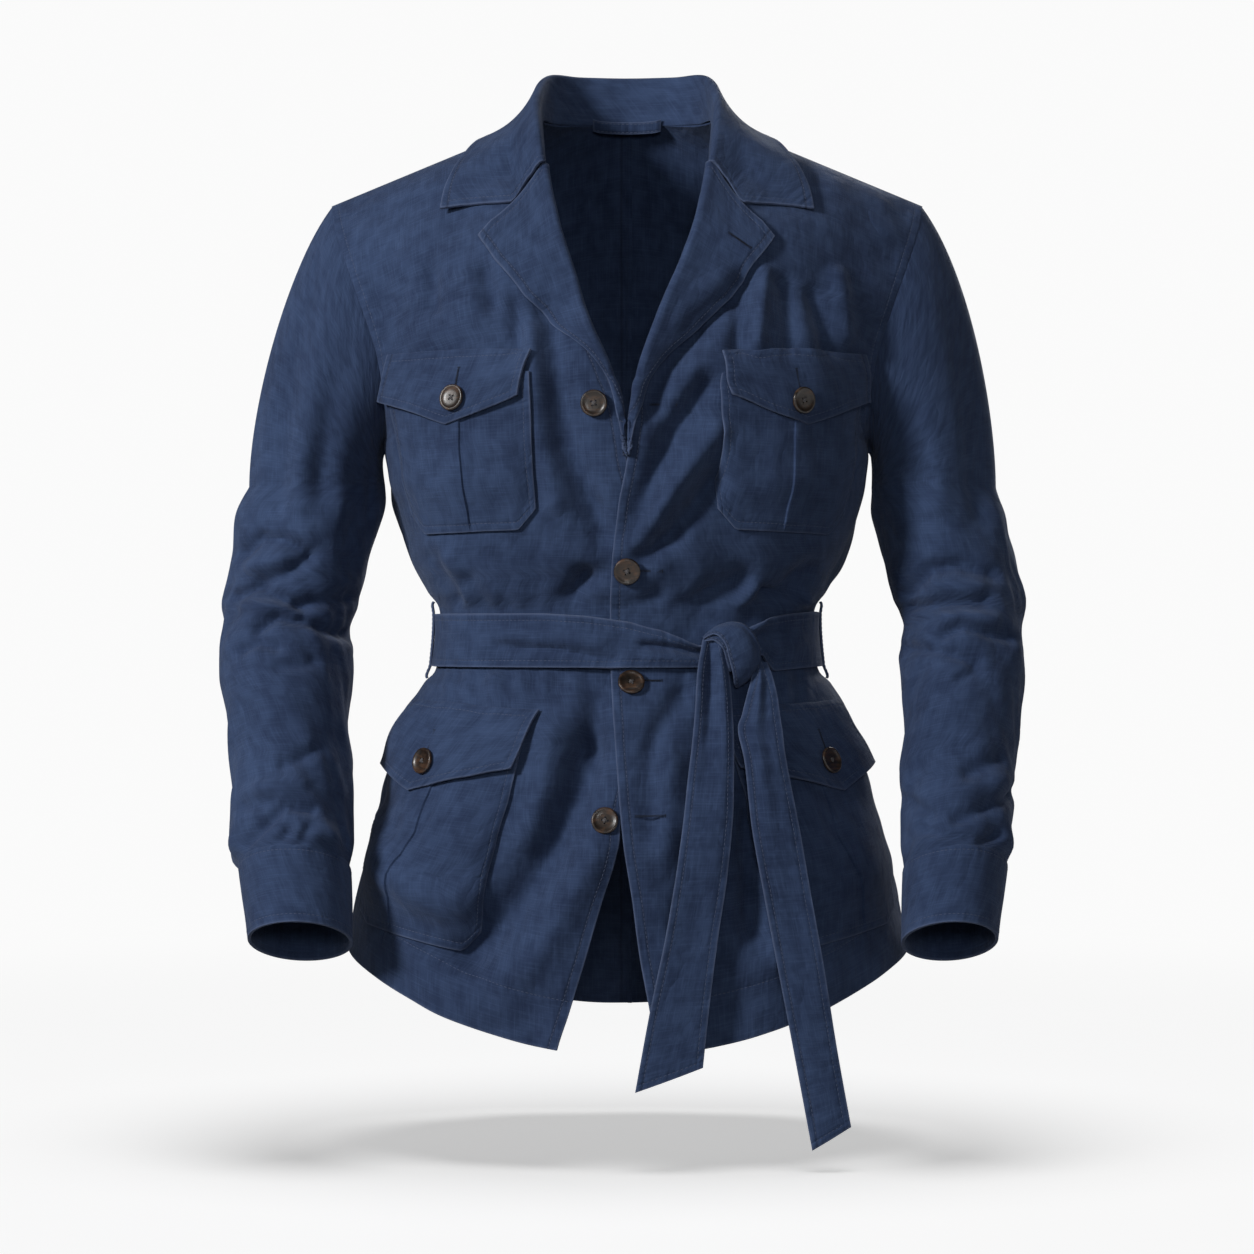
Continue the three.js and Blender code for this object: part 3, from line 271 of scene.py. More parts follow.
edge = cloth.node("ShaderNodeAttribute", {}, output=2, attribute_name="edge")
# Pressed edges are painted lighter, partly as worn dye and partly as a painted highlight.
wear_and_highlight = edge.ridge(EDGE_WEAR_AND_HIGHLIGHT) * 0.5
slubs = (warp_slub.ease(0.42, 0.78) + weft_slub.ease(0.42, 0.78)) * 0.5
tone = broad.ease(0.3, 0.7) * 0.34 + cloudy.ease(0.3, 0.7) * 0.34 + slubs * 0.50 + weave * 0.16 - 0.06
tone = tone.math("MAXIMUM", 0.0).math("MINIMUM", 1.0)
colour = wear_and_highlight.blend(tone.blend(NAVY_DEEP, NAVY_LIGHT), NAVY_WORN_HIGHLIGHT)
height = weave * 0.09 + slubs * 0.08 + cloudy * 0.25 + creased * 5.0 + seam_height
fill({
    # The stitch lines are painted darker here, as shade in the sunk stitches.
    "Base Color": (stitch_shade * 0.45).blend(colour, NAVY_STITCH_SHADE),
    "Roughness": 0.92 - 0.14 * slubs,
    "Normal": cloth.node("ShaderNodeBump", {"Strength": 1.0, "Distance": 0.001, "Height": height}),
    "Specular IOR Level": 0.25,
    "Sheen Weight": 0.12,
    "Sheen Roughness": 0.45,
    "Sheen Tint": (0.55, 0.65, 0.9, 1),
})

# Fronts and backs: two fronts that lap over each other and two backs with a seam between them, cut in
# linen and sewn at the sides and shoulders. They stand round a hollow, drawn in at the waist by the
# belt, and the hem and the front edges are folded under and topstitched. Lengths here are in mm, and
# each row is a line across the body, from the hem up to the shoulder.
MM = 0.001
CLOTH = 1.6
DOUBLED = 2.4
CELL = 2.8  # the distance between the points of a cloth piece
BOXINESS = 0.045


def table(columns, *rows):
    return {name: np.array([row[i] for row in rows], float) for i, name in enumerate(columns.split())}


BODY = table(
    "frontZ frontY backZ backY edgeX edgeZ frontEdgeY backEdgeY turn sag",
    (-706, -150, -701, 130, 216, -640, 4, 4, 90, 2),
    (-660, -147, -656, 128, 211, -606, 4, 4, 90, 2),
    (-592, -142, -590, 123, 199, -560, 4, 4, 90, 2),
    (-525, -134, -524, 115, 186, -507, 4, 4, 90, 2),
    (-472, -123, -472, 106, 172, -463, 4, 4, 90, 2),
    (-441, -113, -440, 98, 158, -438, 4, 4, 90, 2),
    (-425, -106, -425, 92, 147.5, -424, 4, 4, 90, 2),
    (-384, -105, -384, 91, 145, -383, 4, 4, 90, 2),
    (-367, -112, -367, 97, 155, -366, 3, 3, 90, 2),
    (-343, -119, -343, 103, 168, -341, 2, 2, 90, 2),
    (-310, -125, -308, 110, 179, -304, 1, 1, 90, 2),
    (-270, -129, -266, 116, 186, -258, 0, 0, 90, 2),
    (-238, -130, -236, 118, 185.5, -245, -25, 27, 80, 2),
    (-203, -129, -198, 118, 185.5, -221, -45, 48, 71, 2),
    (-153, -120, -140, 114, 190, -188, -54, 58, 63, 1.8),
    (-100, -103, -82, 104, 201, -154, -51, 55, 56, 1.6),
    (-52, -79, -30, 88, 214, -118, -40, 44, 50, 1.4),
    (-14, -52, 9, 62, 223.5, -90, -24, 27, 45, 1.2),
    (11, -26, 21, 33, 227.5, -75, -11, 12, 40, 1.1),
    (27, 0, 27, 0, 229, -68, 0, 0, 35, 1),
)
HEM, BELT_LOW, BELT_HIGH, ARMPIT, NECK, SHOULDER = 0, 6, 7, 11, 17, 19
# Each fold's width and height, and its path as x and z seen from the front. A hollow's height is below 0.
FRONT_FOLDS = (
    (11, -7.5, (-61, -157), (-54, -199), (-45, -258), (-29, -297), (-15, -326)),
    (7, -4, (-148, -130), (-145, -154)),
    (7, -4.5, (-105, -130), (-101, -154)),
    (6, -4, (-83, -154), (-80, -187)),
    (9, 4.5, (-71, -176), (-64, -249), (-52, -301)),
    (8, -9, (-33, -358), (-41, -371), (-37, -387)),
    (8, -4.5, (-17, -354), (-29, -358)),
    (8, -4.5, (-145, -342), (-126, -374)),
    (8, 4, (-132, -342), (-112, -379)),
    (7, -4, (-118, -359), (-104, -383)),
    (10, -8, (89, -136), (57, -170), (30, -202), (18, -230)),
    (9, -8, (60, -214), (32, -254), (14, -293), (5, -323)),
    (9, 8, (64, -251), (42, -282), (18, -312), (5, -330)),
    (8, -8, (65, -286), (51, -304), (32, -327), (10, -342)),
    (11, -9.5, (86, -361), (65, -370), (49, -386), (42, -399)),
    (6, 7.5, (93, -365), (78, -386), (70, -395)),
    (7, -7.5, (104, -371), (93, -387)),
    (9, -7, (138, -352), (120, -367), (109, -379)),
    (5, 5, (135, -372), (123, -382)),
    (9, -6, (-1, -387), (21, -370)),
    (7, 5, (101, -133), (95, -183)),
    (7, -5, (85, -154), (83, -188)),
    (8, 5, (160, -130), (163, -176)),
    (7, -4.5, (140, -146), (148, -187)),
    (7, -4, (117, -139), (120, -187)),
    (9, -6, (-21, -451), (-27, -480)),
    (15, -12, (-25, -485), (-36, -513), (-53, -552), (-76, -588), (-98, -615), (-116, -634)),
    (12, 5.5, (-20, -556), (-47, -607), (-72, -644)),
    (12, 5.5, (-54, -469), (-58, -513), (-74, -551)),
    (10, 4.5, (-189, -540), (-170, -579), (-131, -599), (-111, -588)),
    (9, -6, (43, -440), (27, -465), (18, -482)),
    (11, 4, (33, -498), (27, -556)),
    (9, -4.5, (15, -498), (17, -542)),
    (10, -4.5, (46, -556), (41, -615)),
    (10, 4.5, (103, -571), (110, -636)),
    (9, -6, (88, -535), (91, -615)),
)
BACK_FOLDS = (
    (13, -7, (-150, -250), (-112, -306), (-84, -352)),
    (13, -7, (150, -244), (116, -300), (90, -348)),
    (11, 5.5, (-120, -240), (-92, -300), (-66, -350)),
    (11, 5.5, (118, -232), (88, -296), (70, -346)),
    (9, -5, (-62, -330), (-52, -374)),
    (9, -5, (64, -322), (50, -374)),
    (9, -4.5, (-96, -60), (-118, -130), (-124, -200)),
    (9, -4.5, (98, -64), (120, -130), (128, -196)),
    (15, -8, (-104, -446), (-118, -520), (-126, -600)),
    (15, -8, (110, -446), (120, -520), (124, -610)),
    (13, 6, (-52, -446), (-62, -520), (-60, -600)),
    (13, 6, (48, -446), (56, -520), (62, -610)),
    (12, -4.5, (-22, -452), (-30, -560)),
    (12, -4.5, (18, -452), (28, -580)),
)
GATHERS = table(
    "x width over under",
    (-134, 5, 2, 3.5),
    (-120, 5, 2.5, 3.5),
    (-98, 6, 1.5, 4.5),
    (-79, 6, 2.5, 4.5),
    (-60, 5, 1.5, 3),
    (-38, 6, 1, 2.5),
    (48, 6, 1, 3),
    (74, 6, 2, 3.5),
    (98, 6, 3, 3),
    (118, 5, 2, 4),
    (135, 5, 2.5, 3),
)
FOLD_DEPTH = 1.22  # how much deeper the folds stand than their tables say
BELT_WIDTH = 40
BELT_Z = -404
BELT_HOLD = {"share": 0.85, "none": 14, "full": 2}  # folds fade this much, this near the belt
GATHER_REACH = 26
OVERLAP_LIFT = 2.9
LAP_X = (60, 22)  # the left front rises over the right one between these places
LAP_Z = (-205, -250)
FACED_X = (24, 6)  # the faced strip down the fronts is stiffer, and folds less
FACED_TOP = (-255, -280)
FACED_FOOT = (-565, -535)
RIPPLE_HEIGHT = 0.006


def mix(a, b, share):
    return a + (b - a) * share


def bell(x):
    return np.exp(-x * x)


def smooth(start, end, x):
    share = np.clip((x - start) / (end - start), 0, 1)
    return share * share * (3 - 2 * share)


def unit(vectors):
    return vectors / np.linalg.norm(vectors, axis=-1, keepdims=True)


def dot(a, b):
    return np.sum(a * b, axis=-1, keepdims=True)


def xyz(*parts):
    return np.stack(np.broadcast_arrays(*parts), axis=-1)


def row_at(rows, index):
    """The columns of a table at fractional row numbers, on a smooth curve through its rows."""
    count = len(next(iter(rows.values())))
    at = np.clip(index, 0, count - 1)
    i = np.minimum(np.floor(at).astype(int), count - 2)
    f = at - i
    near = [np.clip(i + step, 0, count - 1) for step in (-1, 0, 1, 2)]

    def curve(column):
        a, b, c, d = (column[k] for k in near)
        return b + 0.5 * f * (c - a + f * (2 * a - 5 * b + 4 * c - d + f * (3 * (b - c) + d - a)))

    return {name: curve(column) for name, column in rows.items()}


def fine_rows(rows, count):
    """A table's rows made into this many, as columns."""
    return row_at(rows, np.linspace(0, len(next(iter(rows.values()))) - 1, count)[:, None])


def form_point(face, side, t, v):
    """The bare form of a panel: t runs from the centre to the outer edge, and v up its rows."""
    t, v = np.broadcast_arrays(np.asarray(t, float), np.asarray(v, float))
    row = row_at(BODY, v)
    turn = np.radians(row["turn"])
    fill = 1 + BOXINESS * np.sin(np.pi * t) ** 2
    reach = np.sin(turn * t) / np.sin(turn) * fill
    depth = (np.cos(turn * t) - np.cos(turn)) / (1 - np.cos(turn)) * fill
    edge = BODY[face + "EdgeY"]
    i = np.clip(np.floor(v).astype(int), 0, ARMPIT - 1)
    edge_y = np.where(v < ARMPIT, mix(edge[i], edge[i + 1], v - i), row[face + "EdgeY"])
    return xyz(
        side * row["edgeX"] * reach,
        mix(edge_y, row[face + "Y"], depth),
        mix(row[face + "Z"], row["edgeZ"], np.abs(reach) ** row["sag"]),
    )


def share_at(v, distance):
    """The t at which a row stands a given distance from the centre plane."""
    row = row_at(BODY, v)
    turn = np.radians(row["turn"])
    t = np.zeros(np.broadcast(v, distance).shape)
    for _ in range(6):
        reach = distance / row["edgeX"] / (1 + BOXINESS * np.sin(np.pi * t) ** 2)
        t = np.arcsin(np.clip(reach * np.sin(turn), -1, 1)) / turn
    return t


def fold_lift(folds, x, z):
    """How far a list of folds lifts the cloth at the places seen at x and z."""
    lift = 0
    for width, height, *path in folds:
        near = np.inf
        for (x1, z1), (x2, z2) in zip(path, path[1:]):
            dx, dz = x2 - x1, z2 - z1
            share = np.clip(((x - x1) * dx + (z - z1) * dz) / (dx * dx + dz * dz), 0, 1)
            near = np.minimum(near, np.hypot(x - x1 - share * dx, z - z1 - share * dz))
        lift = lift + FOLD_DEPTH * height * bell(near / width)
    return lift


def gather_lift(x, z):
    above = z - (BELT_Z + BELT_WIDTH / 2)
    below = BELT_Z - BELT_WIDTH / 2 - z
    over = smooth(0, 8, above) * bell(above / GATHER_REACH)
    under = smooth(0, 8, below) * bell(below / GATHER_REACH)
    lift = 0
    for place_x, width, high, low in zip(*GATHERS.values()):
        lift = lift + (high * over + low * under) * bell((x - place_x) / width)
    return lift


chance = np.random.default_rng(11)
RIPPLES = list(zip(np.geomspace(26, 130, 22), chance.uniform(0, math.pi, 22), chance.uniform(0, 6.28, 22)))


def rumple(x, z, shift):
    """Small uneven waves that well-used linen keeps all over, as a sum of ripples in many directions."""
    lift = 0
    for length, angle, phase in RIPPLES:
        along = x * math.cos(angle) + z * math.sin(angle)
        lift = lift + RIPPLE_HEIGHT * length * np.sin(2 * math.pi / length * along + phase + shift)
    return lift


def cloth_lift(face, side, t, v, p):
    """How far folds, gathers and the overlap lift a panel off its bare form."""
    x, z = p[..., 0], p[..., 2]
    from_belt = np.abs(z - BELT_Z) - BELT_WIDTH / 2
    held = 1 - BELT_HOLD["share"] * smooth(BELT_HOLD["none"], BELT_HOLD["full"], from_belt)
    seamed = smooth(SHOULDER, SHOULDER - 1.5, v) * smooth(1, 0.92, t)
    waves = rumple(x, z, 0 if face == "front" else 2)
    if face == "back":
        seamed = seamed * smooth(NECK + 0.5, NECK - 1.5, v)
        return seamed * ((fold_lift(BACK_FOLDS, x, z) + waves) * held + gather_lift(x, z))
    faced = 0.5 * smooth(*FACED_X, np.abs(x)) * smooth(*FACED_TOP, z) * smooth(*FACED_FOOT, z)
    folds = (fold_lift(FRONT_FOLDS, x, z) + waves) * held * (1 - faced)
    lapped = OVERLAP_LIFT * smooth(*LAP_X, x) * smooth(*LAP_Z, z) if side > 0 else 0
    return seamed * (folds + gather_lift(x, z)) + lapped


NORMAL_STEP = 0.01


def normal_of(surface, u, v):
    across = surface(u + NORMAL_STEP, v) - surface(u - NORMAL_STEP, v)
    along = surface(u, v + NORMAL_STEP) - surface(u, v - NORMAL_STEP)
    return unit(np.cross(across, along))


def outward_of(face, side, surface, t, v):
    """The outward normal, squared off along the side, shoulder and centre-back seams."""
    normal = normal_of(surface, np.minimum(t, 0.985), np.clip(v, HEM + 0.02, SHOULDER - 0.02))
    if (face == "front") != (side > 0):
        normal = -normal
    on_side = np.where(v <= ARMPIT, smooth(0.95, 1, t), 0)
    normal[..., 1] *= 1 - np.maximum(on_side, smooth(SHOULDER - 0.4, SHOULDER, v))
    if face == "back":
        normal[..., 0] *= smooth(0, 0.03, t)
    return unit(normal)


def cloth_point(face, side, t, v):
    t, v = np.broadcast_arrays(np.asarray(t, float), np.asarray(v, float))

    def form(u, w):
        return form_point(face, side, u, w)

    base = form(t, v)
    return base + outward_of(face, side, form, t, v) * cloth_lift(face, side, t, v, base)[..., None]


def cloth_normal(face, side, t, v):
    t, v = np.broadcast_arrays(np.asarray(t, float), np.asarray(v, float))
    return outward_of(face, side, lambda u, w: cloth_point(face, side, u, w), t, v)


def place_at(face, side, x, z):
    """The t and v of a panel that are seen from the front at x and z."""
    x, z = np.broadcast_arrays(np.asarray(x, float), np.asarray(z, float))
    low, high = np.full(x.shape, HEM - 0.5), np.full(x.shape, float(SHOULDER))
    for _ in range(18):
        v = (low + high) / 2
        below = form_point(face, side, share_at(v, side * x), v)[..., 2] < z
        low, high = np.where(below, v, low), np.where(below, high, v)
    return share_at(low, side * x), low


def over_cloth(face, side, x, z, height):
    """Points that stand a height off a panel, over the places seen at x and z."""
    t, v = place_at(face, side, x, z)
    return cloth_point(face, side, t, v) + cloth_normal(face, side, t, v) * np.asarray(height)[..., None]


def run_along(points, axis):
    """The running length of a grid's lines, from its first row or column."""
    steps = np.linalg.norm(np.diff(points, axis=axis), axis=-1)
    start = np.zeros_like(np.take(steps, [0], axis=axis))
    return np.concatenate((start, np.cumsum(steps, axis=axis)), axis=axis)


def borders(points):
    """The lengths from a grid's first column, its last column, its first row and its last row."""
    across, up = run_along(points, 1), run_along(points, 0)
    return across, across[:, [-1]] - across, up, up[-1] - up


def grid_normals(points, row, column, way=-1):
    """The normals of a grid, on the side that faces the front, or the rear, at one of its points."""
    normals = unit(np.cross(np.gradient(points, axis=1), np.gradient(points, axis=0)))
    return normals * np.sign(way * normals[row, column, 1])


FAR = 400.0  # a line of stitching this far off leaves no mark
seam_paths = []


def seam_path(points, outward, away, inside):
    """The places of a grid where the distance to a line of stitching passes through nothing."""
    rows_change = np.abs(np.diff(away, axis=0)).mean() > np.abs(np.diff(away, axis=1)).mean()
    if rows_change:
        points, outward = points.swapaxes(0, 1), outward.swapaxes(0, 1)
        away, inside = away.T, inside.T
    path = []
    for spots, ways, offs, keep in zip(points, outward, away, inside):
        passed = np.nonzero((offs[:-1] < 0) != (offs[1:] < 0))[0]
        passed = [i for i in passed if abs(offs[i + 1] - offs[i]) < 4 * CELL]
        if not passed or not keep[passed[0]]:
            if len(path) > 1:
                seam_paths.append(np.array(path))
            path = []
            continue
        i = passed[0]
        share = offs[i] / (offs[i] - offs[i + 1])
        path.append((mix(spots[i], spots[i + 1], share), mix(ways[i], ways[i + 1], share)))
    if len(path) > 1:
        seam_paths.append(np.array(path))


def pick(*pieces):
    """Selects some objects alone, the first of them as the active one."""
    bpy.ops.object.select_all(action="DESELECT")
    for piece in pieces:
        piece.select_set(True)
    bpy.context.view_layer.objects.active = pieces[0]


def make_cloth(name, points, outward, thickness, marks, closed=False):
    """One piece of cloth over a grid of points, with its real lengths for the weave and the distances
    to its rows of stitching. The thickness goes inward. A closed grid ends on its first column."""
    rows, columns = points.shape[:2]
    side, to_side, up, to_top = borders(points)
    flat = {
        "cloth": (marks.get("across", side), marks.get("up", up[:, [columns // 2]])),
        "stitch_lines": (marks.get("line_a", FAR), marks.get("line_b", FAR)),
        "more_stitch_lines": (marks.get("line_c", FAR), marks.get("line_d", FAR)),
    }
    away = {key: np.broadcast_to(marks[key], up.shape) for key in marks if key.startswith("line")}
    for key, one in away.items():
        others = [two for other, two in away.items() if other != key and marks.get("mitred")]
        seam_path(points, unit(outward), one, np.min([one * 0, *others], axis=0) > -1)
    free = marks.get("edge", np.min((side, to_side, up, to_top), axis=0))
    order = slice(None)
    across_way = np.roll(points, -1, axis=1)[:-1, :-1] - points[:-1, :-1]
    up_way = np.roll(points, -1, axis=0)[:-1, :-1] - points[:-1, :-1]
    if np.sum(np.cross(across_way, up_way) * outward[:-1, :-1]) < 0:
        order = slice(None, None, -1)
    bpy.ops.object.select_all(action="DESELECT")
    bpy.ops.mesh.primitive_grid_add(x_subdivisions=columns - 1, y_subdivisions=rows - 1, calc_uvs=False)
    piece = bpy.context.object
    piece.name = piece.data.name = name
    mesh = piece.data
    mesh.vertices.foreach_set("co", (points[:, order] * MM).ravel())
    corner = np.empty(len(mesh.loops), int)
    mesh.loops.foreach_get("vertex_index", corner)
    for key, pair in flat.items():
        layer = mesh.uv_layers.new(name=key)
        values = np.stack([np.broadcast_to(one, up.shape)[:, order] for one in pair], axis=-1)
        layer.data.foreach_set("uv", (values.reshape(-1, 2)[corner] * MM).ravel())
    attribute = mesh.attributes.new("edge", "FLOAT", "POINT")
    attribute.data.foreach_set("value", (np.ascontiguousarray(free[:, order]) * MM).ravel())
    if closed:
        bpy.ops.object.mode_set(mode="EDIT")
        bpy.ops.mesh.select_all(action="SELECT")
        bpy.ops.mesh.remove_doubles(threshold=1e-5)
        bpy.ops.object.mode_set(mode="OBJECT")
    wall = piece.modifiers.new("wall", "SOLIDIFY")
    wall.thickness = thickness * MM
    wall.offset = -1
    bpy.ops.object.modifier_apply(modifier=wall.name)
    turned = piece.modifiers.new("turned_edge", "BEVEL")
    turned.width = 0.28 * thickness * MM
    turned.segments = 2
    turned.limit_method = "ANGLE"
    turned.angle_limit = math.radians(60)
    bpy.ops.object.modifier_apply(modifier=turned.name)
    bpy.ops.object.shade_smooth_by_angle(angle=math.radians(50))
    mesh.materials.append(linen)
    return piece


def sew(piece, node, points):
    """Puts a cloth piece in the place of its solid."""
    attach(piece, "root")
    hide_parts(node)
    a = points[:-1, 1:] - points[:-1, :-1]
    b = points[1:, :-1] - points[:-1, :-1]


# Where the front edges stand, for the left front (1) and the right one (-1).
FRONT_EDGE = {
    1: table(
        "z x",
        (-712, 23), (-669, 15.5), (-636, 9.5), (-593, 3.6), (-557, -2.2), (-521, -5.9), (-470, -9.6),
        (-433, -11.8), (-389, -12.6), (-344, -11.1), (-301, -5.9), (-275, -0.7), (-250, 2.9), (-227, 6.6),
        (-213, 10.3), (-168, 25.7), (-116, 46.5), (-76, 58.5), (-45, 64), (0, 66),
    ),
    -1: table(
        "z x",
        (-712, 53), (-674, 41.7), (-638, 30.7), (-601, 19.8), (-557, 6.6), (-536, 4), (-491, -6),
        (-434, -14.6), (-352, -14), (-316, -9.5), (-286, -3.7), (-272, 0), (-257, 2.2), (-230, 7.3),
        (-213, 14), (-169, 31.5), (-133, 43), (-100, 53.5), (-56, 63), (0, 66),
    ),
}
EDGE_STITCH = 7
HEM_STITCH = 37
SEAM_STITCH = 9
ARMHOLE_STITCH = 6
DENSER = 1.15  # the columns stand closer near the front edges
NECK_HALF = 66
SEAM_ALLOWANCE = 4
NECK_BACK_Y = 62
PANEL_WIDTH = {"front": 300, "back": 270}
BACK_TUCK = (0.5, -1.5)  # between these distances the right back dips under the left one's seam
SIDES = (("left", 1), ("right", -1))


def front_edge_x(side, z):
    edge = FRONT_EDGE[side]
    i = np.clip(np.searchsorted(edge["z"], z) - 1, 0, len(edge["z"]) - 2)
    f = (z - edge["z"][i]) / (edge["z"][i + 1] - edge["z"][i])
    return row_at(edge, i + np.clip(f, 0, 1))["x"]


def front_start(side, v):
    t = np.zeros_like(v)
    for _ in range(8):
        t = share_at(v, front_edge_x(side, form_point("front", side, t, v)[..., 2]))
    return t


def back_start(side, v):
    y = np.minimum(row_at(BODY, v)["backY"], NECK_BACK_Y)
    neck = share_at(v, NECK_HALF * np.sqrt(1 - (y / NECK_BACK_Y) ** 2))
    seam = share_at(v, -SEAM_ALLOWANCE + 0 * v) if side < 0 else 0
    return np.where(v <= NECK, seam, neck)


def even_rows(face, side, first, last):
    """Row numbers that stand one cell apart, measured up the middle of a panel."""
    fine = np.linspace(first, last, 600)
    up = run_along(form_point(face, side, 0.5, fine), 0)
    return np.interp(np.linspace(0, up[-1], int(up[-1] / CELL) + 1), up, fine)


for word, side in SIDES:
    for face in ("front", "back"):
        start_of = front_start if face == "front" else back_start
        v = even_rows(face, side, HEM, SHOULDER)[:, None]
        share = np.linspace(0, 1, int(PANEL_WIDTH[face] / CELL))[None, :] ** DENSER
        t = mix(start_of(side, v), 1, share)
        points = cloth_point(face, side, t, v)
        outward = cloth_normal(face, side, t, v)
        if face == "back":
            points -= outward * CLOTH * smooth(*BACK_TUCK, side * points[..., [0]])
        from_front, to_edge, up, _ = borders(points)
        marks = {
            "across": from_front + side * points[:, [0], 0],
            "line_b": up - HEM_STITCH,
            "line_c": np.where(v > ARMPIT, to_edge - ARMHOLE_STITCH, np.maximum(to_edge + 2, 12)),
            "edge": np.minimum(up, from_front) if face == "front" else up,
        }
        if face == "front":
            marks["line_a"] = from_front - EDGE_STITCH
        elif side < 0:
            marks["line_a"] = np.where(v <= NECK, from_front - SEAM_STITCH, FAR)
        name = f"{face}_{word}"
        piece = make_cloth(f"{name}_cloth", points, outward, CLOTH, marks)
        sew(piece, name, points)

# Sleeves and cuffs: each sleeve is a tube set into its armhole with a soft crown, creased at the bent
# elbow and above the wrist. A deep turned-back cuff of doubled linen is sewn round its lower end.
SLEEVE = table(
    "z x y halfX halfY tip",
    (-286, 241, 5, 51.5, 58, 0),
    (-306, 245.5, 4.5, 54, 60, 0),
    (-328, 250, 3, 53, 60, 2),
    (-350, 254, 0, 53, 60, 4),
    (-373, 259, -7, 52.5, 59, 7),
    (-392, 262, -15, 48, 57, 11),
    (-412, 261, -23, 50, 57, 16),
    (-435, 260, -32, 49.5, 56, 20),
    (-457, 258, -42, 47.5, 54, 23),
    (-480, 256, -52, 46.5, 52, 25),
    (-502, 254, -61, 45.5, 50, 26),
    (-530, 252, -74, 44.6, 49, 26),
    (-556, 249.5, -86, 43.2, 47, 26),
    (-577, 247, -96, 40, 44, 26),
)
CUFF = table(
    "z x y halfX halfY tip",
    (-573, 247.4, -94.2, 39.2, 43.2, 26),
    (-574.2, 247.3, -94.8, 41.5, 45.4, 26),
    (-594, 244.8, -102.5, 40.6, 44.3, 26),
    (-610, 242.8, -109, 39.3, 43.3, 26),
    (-626, 241, -116, 38.3, 42.3, 26),
)
SLEEVE_TRIM = {1: 3, -1: 0}  # the left sleeve is this much slimmer
CROWN = {"top_out": 115, "top_down": 150, "armpit_out": 22, "armpit_down": 6, "swell": 26}
CROWN_FALL = (12, 170)
CUFF_PUFF = {"out": 2.6, "above": 10, "reach": 13}
CUFF_BEND = {"height": 0.5, "turned": 40}  # the cuff is a little squared, turned by this angle
SLEEVE_TUCK = 0.8  # the sleeve starts this far inside its armhole
SLEEVE_FOLDS = {
    -1: (
        (5, -6, (-294, -338), (-279, -326), (-260, -328), (-239, -338)),
        (6, 4, (-285, -347), (-262, -342)),
        (5, -5, (-277, -359), (-258, -354), (-240, -341)),
        (4.5, -6, (-302, -371), (-282, -363), (-265, -370), (-241, -378)),
        (5, 4, (-290, -378), (-268, -378), (-250, -384)),
        (4.5, -7, (-280, -395), (-263, -385), (-241, -389), (-211, -401)),
        (4.5, -4.5, (-291, -411), (-277, -404), (-262, -408)),
        (6, -5, (-246, -377), (-212, -371)),
        (5, -3, (-260, -424), (-236, -421)),
        (5, -4, (-254, -495), (-232, -486)),
        (5, -4, (-284, -526), (-261, -521)),
        (6, 3, (-270, -512), (-242, -509)),
        (4.5, -5, (-265, -537), (-251, -525), (-232, -529)),
        (4, -4.5, (-262, -559), (-248, -544)),
        (4, -4.5, (-240, -559), (-235, -544)),
        (4.5, -4, (-280, -553), (-270, -541)),
        (10, -4, (-268, -180), (-262, -240), (-266, -300)),
        (9, -4, (-236, -200), (-232, -290)),
        (9, 3, (-250, -190), (-247, -300)),
    ),
    1: (
        (6, -6.5, (214, -366), (229, -350), (252, -347), (277, -354)),
        (7, 4, (235, -362), (265, -363)),
        (4.5, -6, (214, -378), (244, -376), (269, -375)),
        (4.5, -6, (235, -400), (252, -392), (290, -402)),
        (6, 4, (240, -387), (276, -388)),
        (4.5, -5, (205, -411), (231, -410), (261, -419)),
        (5, -3, (249, -432), (261, -425)),
        (6, -4, (252, -501), (276, -492)),
        (6, 3, (239, -515), (276, -509)),
        (5, -5, (242, -535), (266, -526), (294, -518)),
        (4.5, -4.5, (220, -544), (248, -550)),
        (4.5, -4, (206, -522), (224, -532)),
        (4, -4.5, (254, -556), (273, -546)),
        (10, -4, (270, -170), (264, -240), (270, -310)),
        (9, 3, (240, -190), (236, -300)),
    ),
}
REAR_SLEEVE_FOLDS = (
    (6, -5, (-296, -372), (-262, -366), (-226, -372)),
    (7, 4, (-290, -386), (-240, -382)),
    (6, -5, (-292, -398), (-250, -400), (-226, -392)),
    (6, -4.5, (-284, -420), (-246, -414)),
    (6, -4, (-278, -520), (-240, -530)),
    (5, -4.5, (-270, -548), (-236, -542)),
    (10, -4, (-266, -180), (-258, -300)),
)
CUFF_STITCH = 6
SLEEVE_SEAMS = (1.0, 1.5)  # the sunk seams lie this far past the sleeve's two ends


def ring_point(row, side, angle, lift=0.0):
    c, s = np.cos(np.radians(angle)), np.sin(np.radians(angle))
    tip = np.radians(row["tip"])
    y = -(row["halfY"] + lift) * s
    x = row["x"] - SLEEVE_TRIM[side] + (row["halfX"] - SLEEVE_TRIM[side] + lift) * c
    return xyz(side * x, row["y"] + y * np.cos(tip), row["z"] - y * np.sin(tip))


def sleeve_lift(side, row, angle):
    spot = ring_point(row, side, angle)
    x, z = spot[..., 0], spot[..., 2]
    facing = smooth(-0.25, 0.25, np.sin(np.radians(angle)))
    front, rear = fold_lift(SLEEVE_FOLDS[side], x, z), fold_lift(REAR_SLEEVE_FOLDS, -np.abs(x), z)
    to_cuff = smooth(SLEEVE["z"][-1] + 1, SLEEVE["z"][-1] + 13, row["z"])
    over_cuff = bell((row["z"] - SLEEVE["z"][-1] - CUFF_PUFF["above"]) / CUFF_PUFF["reach"])
    rough = (0.8 + 1.2 * over_cuff) * rumple(x + 2 * spot[..., 1], z, 3 + side)
    return (mix(rear, front, facing) + rough + CUFF_PUFF["out"] * over_cuff) * to_cuff


